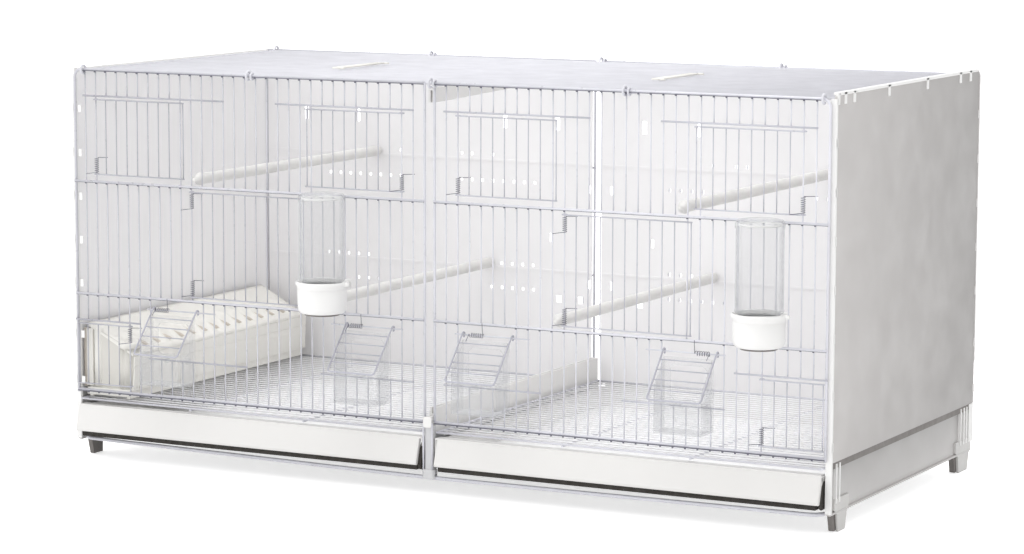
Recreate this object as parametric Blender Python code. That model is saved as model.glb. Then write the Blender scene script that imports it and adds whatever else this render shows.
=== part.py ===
"""A double breeding cage for small birds, in metres, +Z up.

The origin is on the floor under the middle of the cage. The front faces -Y.
The two halves of the front are built from upright wires at one pitch, and
every door, flap and rail is placed by counting those wires.
"""

import math
from collections import namedtuple

import bmesh
import bpy
from mathutils import Vector

# Driving dimensions of the cage
# All is drawn with y = 0 midway between the front and back wire planes. The drinkers
# reach further out than the back does, so at the end everything moves back this much,
# and the origin then stands under the middle of the whole cage.
ORIGIN_BACK = 0.02215

PITCH = 0.0137
BACK_PITCH = 0.0274
CENTRE_GAP = 0.0118
FRONT_Y = -0.200
BACK_Y = 0.200
TOP_RAIL_Z = 0.4315
DOOR_BAR_Z = 0.4030
MID_RAIL_Z = 0.3092
LOW_RAIL_Z = 0.1848
FLAP_HINGE_Z = 0.1725
TROUGH_BAR_Z = 0.1555
CUP_RAIL_Z = 0.1180
BOTTOM_RAIL_Z = 0.0772
FLOOR_Z = 0.0665
FOOT_BAR_Z = 0.0205
CLEARANCE = 0.0003

# Wire sizes: a radius for round wire, half a side for the flat-faced rails
WIRE = 0.00095
END_WIRE = 0.0019
RAIL = 0.0015
CROSS_RAIL = 0.0013
BAR = 0.0010
DOOR_WIRE = 0.0009
WIRE_SIDES = 4
# A rail lies in front of the wires. A wire that ends on a rail sits a little
# further out, so that the two are welded there.
RAIL_BACK_Y = FRONT_Y - 0.0012
STUB_Y = FRONT_Y - 0.0005
FLAP_AXIS_Y = FRONT_Y - 0.0016
DOOR_Y = FRONT_Y - 0.0025
# Where a door's free edge ends, in pitches from the fixed wire it closes on
PAST_WIRE = 0.32
SHORT_OF_WIRE = -0.20
EYE_RADIUS = 0.0025

# Outer dimensions of the moulded side panels
PANEL_OUTER_X = 0.4500
PANEL_INNER_X = 0.4475
RIM_INNER_X = 0.4436
SKIRT_OUTER_X = 0.4470
SKIRT_INNER_X = 0.4445
PANEL_FRONT_Y = -0.1978
PANEL_BACK_Y = 0.2165
PANEL_TOP_Z = 0.4375
LIP_Z = 0.4180
SKIRT_STEP_Z = 0.0720
SKIRT_BOTTOM_Z = 0.0200

# Springs: close to the hinge wire, one unbroken wire each
SPRING_WIRE = 0.00035
SPRING_RADIUS = 0.0020
SPRING_CURLS = 2.5
SPRING_PITCH = 0.0048
POINTS_PER_CURL = 8
SPRING_LEG = 0.0165

Door = namedtuple("Door", "name hinge stop overlap low high springs")
Flap = namedtuple("Flap", "name wire cut rail arms coil_from coil_way")
Half = namedtuple("Half", "name first last uppers main trough flaps bars")

UPPER_LOW, UPPER_HIGH = 0.3172, 0.3990
MAIN_LOW, MAIN_HIGH = 0.1893, 0.3035
TROUGH_LOW, TROUGH_HIGH = 0.0847, 0.1513

LEFT = Half(
    "left",
    -1,
    31,
    (
        Door("upper_door_1", 1, 9, PAST_WIRE, UPPER_LOW, UPPER_HIGH, ("low",)),
        Door("upper_door_2", 29, 21, PAST_WIRE, UPPER_LOW, UPPER_HIGH, ("low",)),
    ),
    Door("main_door_left", 10, 20, PAST_WIRE, MAIN_LOW, MAIN_HIGH, ("low", "high")),
    Door("trough_door_left", 4, -1, SHORT_OF_WIRE, TROUGH_LOW, TROUGH_HIGH, ("high",)),
    (
        Flap("feeder_flap_1", (6, 12), (7, 10), (6, 15), (6.43, 10.49), 6.65, 1),
        Flap("feeder_flap_2", (23, 29), (25, 28), (22, 30), (24.20, 28.28), 24.42, 1),
    ),
    ((0, 13), (18, 30), (-1, 5)),
)
RIGHT = Half(
    "right",
    0,
    32,
    (
        Door("upper_door_3", 2, 10, PAST_WIRE, UPPER_LOW, UPPER_HIGH, ("low",)),
        Door("upper_door_4", 30, 22, PAST_WIRE, UPPER_LOW, UPPER_HIGH, ("low",)),
    ),
    Door("main_door_right", 11, 21, PAST_WIRE, MAIN_LOW, MAIN_HIGH, ("low", "high")),
    Door("trough_door_right", 27, 32, SHORT_OF_WIRE, TROUGH_LOW, TROUGH_HIGH, ("low",)),
    (
        Flap("feeder_flap_3", (2, 8), (3, 6), (1, 9), (2.54, 6.72), 3.1, 1),
        Flap("feeder_flap_4", (18, 24), (20, 23), (16, 24), (19.25, 23.52), 22.95, -1),
    ),
    ((1, 13), (19, 31), (25, 32)),
)
HALVES = (LEFT, RIGHT)


def wire_x(half, index):
    """The X of a front wire, counted from the left end of its half."""
    if half.name == "left":
        return -CENTRE_GAP / 2 - (31 - index) * PITCH
    return CENTRE_GAP / 2 + index * PITCH


def clear_scene():
    for obj in list(bpy.data.objects):
        bpy.data.objects.remove(obj, do_unlink=True)


def make_material(name, colour, roughness, metallic=0.0, transmission=0.0):
    material = bpy.data.materials.new(name)
    material.use_nodes = True
    shader = material.node_tree.nodes["Principled BSDF"]
    shader.inputs["Base Color"].default_value = (*colour, 1.0)
    shader.inputs["Roughness"].default_value = roughness
    shader.inputs["Metallic"].default_value = metallic
    shader.inputs["Transmission Weight"].default_value = transmission
    return material


clear_scene()

WHITE_WIRE = make_material("white_coated_wire", (0.80, 0.80, 0.86), 0.35)
FLOOR_WIRE = make_material("floor_wire", (0.72, 0.72, 0.80), 0.35)
SPRING_STEEL = make_material("spring_steel", (0.62, 0.62, 0.68), 0.3, 0.9)
WHITE_PLASTIC = make_material("white_plastic", (0.82, 0.80, 0.77), 0.45)
CREAM_PLASTIC = make_material("cream_plastic", (0.76, 0.72, 0.62), 0.45)
PERCH_PLASTIC = make_material("perch_plastic", (0.62, 0.59, 0.53), 0.55)
CLEAR_PLASTIC = make_material("clear_plastic", (0.85, 0.86, 0.86), 0.08, 0.0, 0.9)


def link_mesh(name, bm, material):
    """A finished object from a bmesh, with its faces turned outwards."""
    bmesh.ops.recalc_face_normals(bm, faces=bm.faces)
    mesh = bpy.data.meshes.new(name)
    bm.to_mesh(mesh)
    bm.free()
    mesh.materials.append(material)
    obj = bpy.data.objects.new(name, mesh)
    bpy.context.scene.collection.objects.link(obj)
    return obj


def as_helper(obj):
    """Marks an object that only shapes another one."""
    obj.hide_render = True
    obj.display_type = "WIRE"
    return obj


def combine(obj, other, operation):
    modifier = obj.modifiers.new(operation.lower(), "BOOLEAN")
    modifier.operation = operation
    modifier.solver = "EXACT"
    modifier.object = as_helper(other)
    return obj


def place_origin(obj, point):
    """Moves the object's origin to a point of its hinge, and leaves the shape where it is."""
    point = Vector(point)
    for vertex in obj.data.vertices:
        vertex.co -= point
    obj.location = point


def add_tube(bm, points, radius, sides=WIRE_SIDES, up=(0, 0, 1), turn=0.0):
    """A wire along the points. Its first corner looks along up, turned by turn."""
    points = [Vector(point) for point in points]
    count = len(points)
    tangents = []
    for k in range(count):
        before = points[max(k - 1, 0)]
        after = points[min(k + 1, count - 1)]
        tangents.append((after - before).normalized())
    if abs(tangents[0].dot(Vector(up))) > 0.99:
        up = (0, -1, 0)
    normal = Vector(up) - tangents[0] * Vector(up).dot(tangents[0])
    normal.normalize()
    rings = []
    for k, (point, tangent) in enumerate(zip(points, tangents)):
        if k:
            normal = tangents[k - 1].rotation_difference(tangent) @ normal
        side = tangent.cross(normal)
        stretch = 1.0
        if 0 < k < count - 1:
            ahead = (points[k + 1] - point).normalized()
            stretch = 1.0 / max(tangent.dot(ahead), 0.5)
        bend = Vector()
        if stretch > 1.0001:
            bend = ahead - tangent * ahead.dot(tangent)
            bend.normalize()
        ring = []
        for j in range(sides):
            angle = turn + 2 * math.pi * j / sides
            offset = (normal * math.cos(angle) + side * math.sin(angle)) * radius
            offset += bend * offset.dot(bend) * (stretch - 1.0)
            ring.append(bm.verts.new(point + offset))
        rings.append(ring)
    for first, second in zip(rings, rings[1:]):
        for j in range(sides):
            k = (j + 1) % sides
            bm.faces.new((first[j], first[k], second[k], second[j]))
    bm.faces.new(rings[0][::-1])
    bm.faces.new(rings[-1])


def add_square_bar(bm, start, end, half, up=(0, 0, 1)):
    """A straight bar with flat faces, half its side given."""
    add_tube(bm, (start, end), half * math.sqrt(2), 4, up, math.pi / 4)


def add_box(bm, low, high):
    corners = [
        bm.verts.new((x, y, z))
        for x in (low[0], high[0])
        for y in (low[1], high[1])
        for z in (low[2], high[2])
    ]
    for a, b, c, d in (
        (0, 1, 3, 2),
        (4, 6, 7, 5),
        (0, 4, 5, 1),
        (2, 3, 7, 6),
        (0, 2, 6, 4),
        (1, 5, 7, 3),
    ):
        bm.faces.new((corners[a], corners[b], corners[c], corners[d]))


def add_prism(bm, outline, axis, low, high):
    """An outline in the plane across an axis (0 is X, 1 is Y, 2 is Z), pulled along it."""
    others = [k for k in range(3) if k != axis]
    rings = []
    for level in (low, high):
        ring = []
        for a, b in outline:
            point = [0.0, 0.0, 0.0]
            point[axis] = level
            point[others[0]] = a
            point[others[1]] = b
            ring.append(bm.verts.new(point))
        rings.append(ring)
    count = len(outline)
    for j in range(count):
        k = (j + 1) % count
        bm.faces.new((rings[0][j], rings[0][k], rings[1][k], rings[1][j]))
    bm.faces.new(rings[0][::-1])
    bm.faces.new(rings[1])


def arc(centre, radius, start, end, steps):
    """Points of an arc in a plane, angles in degrees, both ends included."""
    points = []
    for k in range(steps + 1):
        angle = math.radians(start + (end - start) * k / steps)
        points.append(
            (centre[0] + radius * math.cos(angle), centre[1] + radius * math.sin(angle))
        )
    return points


def rounded_rectangle(low, high, radius, steps=2):
    """An outline with round corners, anticlockwise."""
    (x0, y0), (x1, y1) = low, high
    points = []
    for cx, cy, start in (
        (x1 - radius, y0 + radius, -90),
        (x1 - radius, y1 - radius, 0),
        (x0 + radius, y1 - radius, 90),
        (x0 + radius, y0 + radius, 180),
    ):
        points += arc((cx, cy), radius, start, start + 90, steps)
    return points


def solid_from(name, material, *builders):
    """One object from functions that each add closed shapes to a bmesh."""
    bm = bmesh.new()
    for builder in builders:
        builder(bm)
    return link_mesh(name, bm, material)


# Front halves: upright wires, cut where a door or a flap opens


def openings_of(half):
    """For each wire that is cut, the height ranges where it is missing."""
    cuts = {}
    doors = [(door, MID_RAIL_Z, DOOR_BAR_Z) for door in half.uppers]
    doors.append((half.main, LOW_RAIL_Z, MID_RAIL_Z))
    doors.append((half.trough, BOTTOM_RAIL_Z, TROUGH_BAR_Z))
    for door, low, high in doors:
        between = range(min(door.hinge, door.stop) + 1, max(door.hinge, door.stop))
        for index in between:
            cuts.setdefault(index, []).append((low, high))
    for flap in half.flaps:
        for index in range(flap.cut[0], flap.cut[1] + 1):
            cuts.setdefault(index, []).append((CUP_RAIL_Z, LOW_RAIL_Z))
    return cuts


def stretches(cuts):
    """The height ranges of a wire that are left between its cuts."""
    edges = [BOTTOM_RAIL_Z]
    for low, high in sorted(cuts):
        edges += [low, high]
    edges.append(TOP_RAIL_Z)
    pairs = zip(edges[::2], edges[1::2])
    return [(low, high) for low, high in pairs if high - low > PITCH]


def bar_welds(half):
    """The cut wires that hold the short bars: one at each end of every bar."""
    held = set()
    for door in (*half.uppers, half.trough):
        low, high = min(door.hinge, door.stop), max(door.hinge, door.stop)
        held |= {low + 1, high - 1}
    for flap in half.flaps:
        held |= set(flap.cut)
    return held


def front_uprights(bm, half):
    cuts = openings_of(half)
    welded = bar_welds(half)
    for index in range(half.first, half.last + 1):
        x = wire_x(half, index)
        if index in (half.first, half.last):
            ends = (x, FRONT_Y, BOTTOM_RAIL_Z - 0.003), (x, FRONT_Y, TOP_RAIL_Z + 0.001)
            add_tube(bm, ends, END_WIRE, 4, (0, -1, 0), math.pi / 4)
            continue
        for low, high in stretches(cuts.get(index, [])):
            floating = low > BOTTOM_RAIL_Z and high < TOP_RAIL_Z
            y = STUB_Y if floating or index in welded else FRONT_Y
            low -= 0.0004 if low > BOTTOM_RAIL_Z else 0.0
            high += 0.0004 if high < TOP_RAIL_Z else 0.0
            add_tube(bm, ((x, y, low), (x, y, high)), WIRE, WIRE_SIDES, (0, -1, 0))


def front_rails(bm, half):
    left = wire_x(half, half.first) - 0.0022
    right = wire_x(half, half.last) + 0.0022
    for z in (TOP_RAIL_Z, BOTTOM_RAIL_Z):
        add_square_bar(bm, (left, FRONT_Y, z), (right, FRONT_Y, z), RAIL)
    for z in (MID_RAIL_Z, LOW_RAIL_Z):
        y = RAIL_BACK_Y - CROSS_RAIL
        add_square_bar(bm, (left, y, z), (right, y, z), CROSS_RAIL)
    spans = [(*bar, DOOR_BAR_Z) for bar in half.bars[:2]]
    spans.append((*half.bars[2], TROUGH_BAR_Z))
    spans += [(*flap.rail, CUP_RAIL_Z) for flap in half.flaps]
    for first, last, z in spans:
        y = RAIL_BACK_Y - BAR
        ends = (wire_x(half, first) - 0.0018, y, z), (wire_x(half, last) + 0.0018, y, z)
        add_square_bar(bm, *ends, BAR)
    for flap in half.flaps:
        start, end = (wire_x(half, index) for index in flap.wire)
        ends = (start - 0.003, FLAP_AXIS_Y, FLAP_HINGE_Z), (end + 0.002, FLAP_AXIS_Y, FLAP_HINGE_Z)
        add_tube(bm, ends, WIRE, 6, (0, 1, 0))


def make_front(half):
    uprights = solid_from(
        f"front_grille_{half.name}", WHITE_WIRE, lambda bm: front_uprights(bm, half)
    )
    rails = solid_from(
        f"front_rails_{half.name}", WHITE_WIRE, lambda bm: front_rails(bm, half)
    )
    combine(uprights, rails, "UNION")


# Doors: two cross wires curled round the hinge wire, with uprights between


def hinge_curl(x, y, z, way):
    """The cross wire's end, curled round the upright hinge wire on it."""
    points = []
    for bx, by in arc((0, 0), EYE_RADIUS, -90, -360, 4):
        points.append((x + way * bx, y + by, z))
    return points


def make_door(half, door):
    hinge_x = wire_x(half, door.hinge)
    way = 1 if door.stop > door.hinge else -1
    gaps = abs(door.stop - door.hinge)
    edge_x = wire_x(half, door.stop + way * door.overlap)

    def cross_wires(bm):
        for z in (door.low, door.high):
            path = [(edge_x + way * 0.0020, DOOR_Y, z)]
            path += hinge_curl(hinge_x, FRONT_Y, z, way)
            add_tube(bm, path, DOOR_WIRE, WIRE_SIDES, (0, 0, 1), math.pi / 4)

    def uprights(bm):
        places = [hinge_x + way * k * PITCH for k in range(1, gaps)]
        for x in places + [edge_x]:
            ends = (x, DOOR_Y, door.low), (x, DOOR_Y, door.high)
            add_tube(bm, ends, DOOR_WIRE * 0.62, WIRE_SIDES, (0, -1, 0))

    body = solid_from(door.name, WHITE_WIRE, uprights)
    others = solid_from(f"{door.name}_cross_wires", WHITE_WIRE, cross_wires)
    combine(body, others, "UNION")
    place_origin(body, (hinge_x, FRONT_Y, (door.low + door.high) / 2))
    place_origin(others, (hinge_x, FRONT_Y, (door.low + door.high) / 2))
    for place in door.springs:
        length = SPRING_CURLS * SPRING_PITCH
        clear = DOOR_WIRE + SPRING_WIRE + 0.0006
        z = door.low + clear if place == "low" else door.high - clear - length
        make_door_spring(f"{door.name}_spring_{place}", hinge_x, z, way)


# Torsion springs


def coil_points(centre, along, first, second, start, sweep, leg_in, leg_out):
    """One wire: a straight leg, the curls round an axis and a straight leg.

    first and second span the plane across the axis, angles are in degrees.
    """
    centre, along, first, second = (Vector(v) for v in (centre, along, first, second))
    steps = max(int(round(abs(sweep) / 360 * POINTS_PER_CURL)), 1)
    climb = SPRING_PITCH * abs(sweep) / 360
    points = []
    for k in range(steps + 1):
        angle = math.radians(start + sweep * k / steps)
        spoke = first * math.cos(angle) + second * math.sin(angle)
        points.append(centre + along * (climb * k / steps) + spoke * SPRING_RADIUS)
    return [points[0] + Vector(leg_in)] + points + [points[-1] + Vector(leg_out)]


def least_gap(points):
    """The smallest gap between stretches of the wire that aren't neighbours."""
    least = 1.0
    for i, a in enumerate(points[1:-1]):
        for b in points[1:-1][i + POINTS_PER_CURL // 2 :]:
            least = min(least, (a - b).length)
    return least - 2 * SPRING_WIRE


def make_spring(name, points):
    curve = bpy.data.curves.new(name, "CURVE")
    curve.dimensions = "3D"
    curve.bevel_depth = SPRING_WIRE
    curve.bevel_resolution = 1
    curve.use_fill_caps = True
    spline = curve.splines.new("POLY")
    spline.points.add(len(points) - 1)
    for target, point in zip(spline.points, points):
        target.co = (*point, 1.0)
    curve.materials.append(SPRING_STEEL)
    obj = bpy.data.objects.new(name, curve)
    bpy.context.scene.collection.objects.link(obj)
    print(f"{name}: least gap to itself {least_gap(points) * 1000:.2f} mm")


def make_door_spring(name, hinge_x, z, way):
    """One leg lies outside the door, the other inside the next fixed wire."""
    points = coil_points(
        (hinge_x, FRONT_Y, z),
        (0, 0, 1),
        (way, 0, 0),
        (0, 1, 0),
        -90,
        -360 * SPRING_CURLS,
        (way * SPRING_LEG, -0.0026, 0),
        (-way * SPRING_LEG, 0.0002, 0),
    )
    make_spring(name, points)


# Feeder flaps: a bent wire with rungs that leans out on the feeder cup

FLAP_LEAN = math.radians(41)
FLAP_LENGTH = 0.0597
FLAP_CORNER = 0.004
RUNG_SHARES = (0.2, 0.4, 0.6, 0.8)
FLAP_DOWN = Vector((0, -math.sin(FLAP_LEAN), -math.cos(FLAP_LEAN)))
FLAP_OUT = Vector((0, -math.cos(FLAP_LEAN), math.sin(FLAP_LEAN)))


def flap_point(x, down, out=0.0):
    return Vector((x, FLAP_AXIS_Y, FLAP_HINGE_Z)) + FLAP_DOWN * down + FLAP_OUT * out


def make_flap(half, flap):
    left, right = (wire_x(half, index) for index in flap.arms)

    def eye(x):
        """A curl over the hinge wire, from its inner side to the arm."""
        return [
            flap_point(x, EYE_RADIUS * a, EYE_RADIUS * b)
            for a, b in arc((0, 0), 1.0, -50, -270, 4)
        ]

    def frame(bm):
        corner = arc((0, 0), FLAP_CORNER, 180, 270, 1)
        straight = FLAP_LENGTH - FLAP_CORNER
        path = [flap_point(left, a, EYE_RADIUS) for a in (straight,)]
        path += [
            flap_point(left + FLAP_CORNER + a, straight - b, EYE_RADIUS)
            for a, b in corner[1:]
        ]
        path += [
            flap_point(right - FLAP_CORNER - a, straight - b, EYE_RADIUS)
            for a, b in reversed(corner)
        ]
        start = eye(left)
        end = list(reversed(eye(right)))
        add_tube(bm, start + path + end, DOOR_WIRE, WIRE_SIDES, FLAP_OUT, math.pi / 4)

    def rungs(bm):
        for share in RUNG_SHARES:
            ends = (flap_point(x, share * FLAP_LENGTH, EYE_RADIUS) for x in (left, right))
            add_tube(bm, list(ends), DOOR_WIRE * 0.62, WIRE_SIDES, FLAP_OUT)

    body = solid_from(flap.name, WHITE_WIRE, frame)
    others = solid_from(f"{flap.name}_rungs", WHITE_WIRE, rungs)
    combine(body, others, "UNION")
    middle = ((left + right) / 2, FLAP_AXIS_Y, FLAP_HINGE_Z)
    place_origin(body, middle)
    place_origin(others, middle)
    lean = math.degrees(FLAP_LEAN)
    start_angle = 90 + (90 - lean)
    points = coil_points(
        (wire_x(half, flap.coil_from), FLAP_AXIS_Y, FLAP_HINGE_Z),
        (flap.coil_way, 0, 0),
        (0, 1, 0),
        (0, 0, 1),
        start_angle,
        720 + 180 - start_angle,
        FLAP_DOWN * 0.016 + FLAP_OUT * 0.0020,
        (0, -0.0014, 0.0165),
    )
    make_spring(f"{flap.name}_spring", points)


# Back grilles, roof and floor grilles


def make_back(side, ends):
    """Half of the back: a frame, uprights and two rails on the outside."""
    first, last = ends
    count = int(round((last - first) / BACK_PITCH))

    def uprights(bm):
        for k in range(count + 1):
            x = min(first + k * BACK_PITCH, last)
            outer = k in (0, count)
            ends = (x, BACK_Y, BOTTOM_RAIL_Z), (x, BACK_Y, TOP_RAIL_Z)
            if outer:
                ends = (x, BACK_Y, BOTTOM_RAIL_Z - 0.003), (x, BACK_Y, TOP_RAIL_Z + 0.001)
                add_tube(bm, ends, END_WIRE, 4, (0, 1, 0), math.pi / 4)
            else:
                add_tube(bm, ends, WIRE, WIRE_SIDES, (0, 1, 0))

    def rails(bm):
        for z in (TOP_RAIL_Z, BOTTOM_RAIL_Z):
            ends = (first - 0.0022, BACK_Y, z), (last + 0.0022, BACK_Y, z)
            add_square_bar(bm, *ends, RAIL)
        y = BACK_Y + 0.0012 + CROSS_RAIL
        for z in (MID_RAIL_Z, LOW_RAIL_Z):
            ends = (first - 0.0022, y, z), (last + 0.0022, y, z)
            add_square_bar(bm, *ends, CROSS_RAIL)

    body = solid_from(f"back_grille_{side}", WHITE_WIRE, uprights)
    combine(body, solid_from(f"back_rails_{side}", WHITE_WIRE, rails), "UNION")


ROOF_Z = TOP_RAIL_Z - 0.0010
ROOF_PITCH = 0.0137
ROOF_CROSS_X = (-0.4329, -0.2205, 0.0010, 0.2231, 0.4375)
ROOF_WIRE = 0.0010
ROOF_CROSS = 0.0013
ROOF_EDGE = 0.0016
ROOF_HOOK = 0.0041
HANDLE_X = (-0.1770, 0.2020)
HANDLE_WIRES = ((-8, 2), (-7, 3))
HANDLE_REACH = 0.0110
LUG_HALF = 0.0016
HANDLE_AXIS_Z = ROOF_Z + 0.0030


def make_roof():
    """Long wires joined by five cross wires, whose ends hook over the top rails."""

    def long_wires(bm):
        for k in range(-14, 15):
            y = k * ROOF_PITCH
            ends = (ROOF_CROSS_X[0], y, ROOF_Z), (ROOF_CROSS_X[-1], y, ROOF_Z)
            size = ROOF_WIRE if abs(k) < 14 else ROOF_CROSS
            add_tube(bm, ends, size, WIRE_SIDES, (0, 0, 1))

    def cross_wires(bm):
        for x in ROOF_CROSS_X:
            drop = 0.0 if x in (ROOF_CROSS_X[0], ROOF_CROSS_X[-1]) else 0.0021
            path = []
            for a, b in arc((0, 0), ROOF_HOOK, 60, 270, 3):
                path.append((x, FRONT_Y + a, TOP_RAIL_Z + b))
            path.reverse()
            path.append((x, FRONT_Y + 0.0062, ROOF_Z - drop))
            path.append((x, FRONT_Y + 0.0075, ROOF_Z - drop))
            path += [(x, -y, z) for x, y, z in reversed(path)]
            size = ROOF_CROSS if drop else ROOF_EDGE
            add_tube(bm, path, size, WIRE_SIDES, (-1, 0, 0), math.pi / 4)

    def lugs(bm):
        for x, wires in zip(HANDLE_X, HANDLE_WIRES):
            for k in wires:
                y = k * ROOF_PITCH
                low = (x - 0.0030, y - LUG_HALF, ROOF_Z - 0.0004)
                add_box(bm, low, (x + 0.0030, y + LUG_HALF, HANDLE_AXIS_Z + 0.0026))

    def sockets(bm):
        for x, wires in zip(HANDLE_X, HANDLE_WIRES):
            for k, way in zip(wires, (1, -1)):
                y = k * ROOF_PITCH
                ends = (x, y - way * 0.0008, HANDLE_AXIS_Z), (x, y + way * 0.004, HANDLE_AXIS_Z)
                add_tube(bm, ends, 0.0018, 6)

    body = solid_from("roof_grille", FLOOR_WIRE, long_wires)
    combine(body, solid_from("roof_cross_wires", FLOOR_WIRE, cross_wires), "UNION")
    combine(body, solid_from("roof_lugs", FLOOR_WIRE, lugs), "UNION")
    combine(body, solid_from("roof_sockets", FLOOR_WIRE, sockets), "DIFFERENCE")


def make_handle(name, x, wires):
    """A grip strip on two short arms, folded flat on the roof, with a pin in each lug."""
    low = wires[0] * ROOF_PITCH + LUG_HALF + 0.0005
    high = wires[1] * ROOF_PITCH - LUG_HALF - 0.0005
    z = HANDLE_AXIS_Z

    def strip(bm):
        outline = rounded_rectangle(
            (x - HANDLE_REACH - 0.0035, low), (x - HANDLE_REACH + 0.0035, high), 0.003, 1
        )
        add_prism(bm, outline, 2, z - 0.0012, z + 0.0012)

    def arms(bm):
        for y in (low + 0.0002, high - 0.0042):
            box = (x - HANDLE_REACH, y, z - 0.0011), (x + 0.0014, y + 0.0040, z + 0.0011)
            add_box(bm, *box)

    def pins(bm):
        for y, way in ((low, -1), (high, 1)):
            ends = (x, y - way * 0.002, z), (x, y + way * 0.0020, z)
            add_tube(bm, ends, 0.0014, 4)

    body = solid_from(name, CREAM_PLASTIC, strip)
    others = [
        solid_from(f"{name}_arms", CREAM_PLASTIC, arms),
        solid_from(f"{name}_pins", CREAM_PLASTIC, pins),
    ]
    for other in others:
        combine(body, other, "UNION")
    for obj in (body, *others):
        place_origin(obj, (x, (low + high) / 2, z))


FLOOR_PITCH = 0.0119
FLOOR_FRONT_Y = -0.1990
FLOOR_COUNT = 33
FLOOR_EDGE = 0.0015
FLOOR_INNER_X = 0.0087
FLOOR_OUTER_X = 0.4408


def make_floor(side, way):
    """A pull-out floor grille: wires across, side wires, a cross wire below and two pulls."""
    low, high = sorted((way * FLOOR_INNER_X, way * FLOOR_OUTER_X))
    back = FLOOR_FRONT_Y + (FLOOR_COUNT - 1) * FLOOR_PITCH

    def across(bm):
        for k in range(FLOOR_COUNT):
            y = FLOOR_FRONT_Y + k * FLOOR_PITCH
            edge = k in (0, FLOOR_COUNT - 1)
            size = FLOOR_EDGE if edge else WIRE
            add_tube(bm, ((low, y, FLOOR_Z), (high, y, FLOOR_Z)), size, 4, (0, 0, 1))

    def side_wires(bm):
        for x in (low, high):
            ends = (x, FLOOR_FRONT_Y - 0.0018, FLOOR_Z), (x, back + 0.0018, FLOOR_Z)
            add_tube(bm, ends, FLOOR_EDGE, 4, (0, 0, 1), math.pi / 4)
        middle = way * 0.2985
        z = FLOOR_Z - 0.0022
        ends = (middle, FLOOR_FRONT_Y - 0.001, z), (middle, back + 0.001, z)
        add_tube(bm, ends, FLOOR_EDGE, 4, (0, 0, 1), math.pi / 4)

    def pulls(bm):
        x = way * 0.2985
        path = [(x - 0.012, FLOOR_FRONT_Y, FLOOR_Z)]
        for a, b in arc((0, 0), 0.006, 180, 360, 3):
            path.append((x + a * 1.5, FLOOR_FRONT_Y - 0.004 + b, FLOOR_Z))
        path.append((x + 0.012, FLOOR_FRONT_Y, FLOOR_Z))
        add_tube(bm, path, WIRE, 4, (0, 0, 1), math.pi / 4)

    body = solid_from(f"floor_grille_{side}", FLOOR_WIRE, across)
    combine(body, solid_from(f"floor_sides_{side}", FLOOR_WIRE, side_wires), "UNION")
    combine(body, solid_from(f"floor_pulls_{side}", FLOOR_WIRE, pulls), "UNION")


# Trays, and the post and rail between them

TRAY_TOP_Z = 0.0605
TRAY_BOTTOM_Z = 0.0315
TRAY_LEAN = 0.0090
TRAY_WALL = 0.0018


def make_tray(side, way):
    low, high = sorted((way * 0.0070, way * 0.4420))

    def outside(bm):
        add_box(bm, (low, -0.2020, TRAY_BOTTOM_Z), (high, 0.1900, 0.0585))

    def fascia(bm):
        outline = [
            (-0.2000, TRAY_TOP_Z),
            (-0.2034, TRAY_TOP_Z),
            (-0.2038, 0.0585),
            (-0.2028 - TRAY_LEAN, 0.0345),
            (-0.2020 - TRAY_LEAN, TRAY_BOTTOM_Z),
            (-0.2000, TRAY_BOTTOM_Z + 0.0003),
        ]
        add_prism(bm, outline, 0, low, high)

    def inside(bm):
        box = (low + TRAY_WALL, -0.1990, TRAY_BOTTOM_Z + TRAY_WALL)
        add_box(bm, box, (high - TRAY_WALL, 0.1900 - TRAY_WALL, 0.0700))

    body = solid_from(f"tray_{side}", WHITE_PLASTIC, outside)
    combine(body, solid_from(f"tray_fascia_{side}", WHITE_PLASTIC, fascia), "UNION")
    combine(body, solid_from(f"tray_inside_{side}", WHITE_PLASTIC, inside), "DIFFERENCE")


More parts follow.
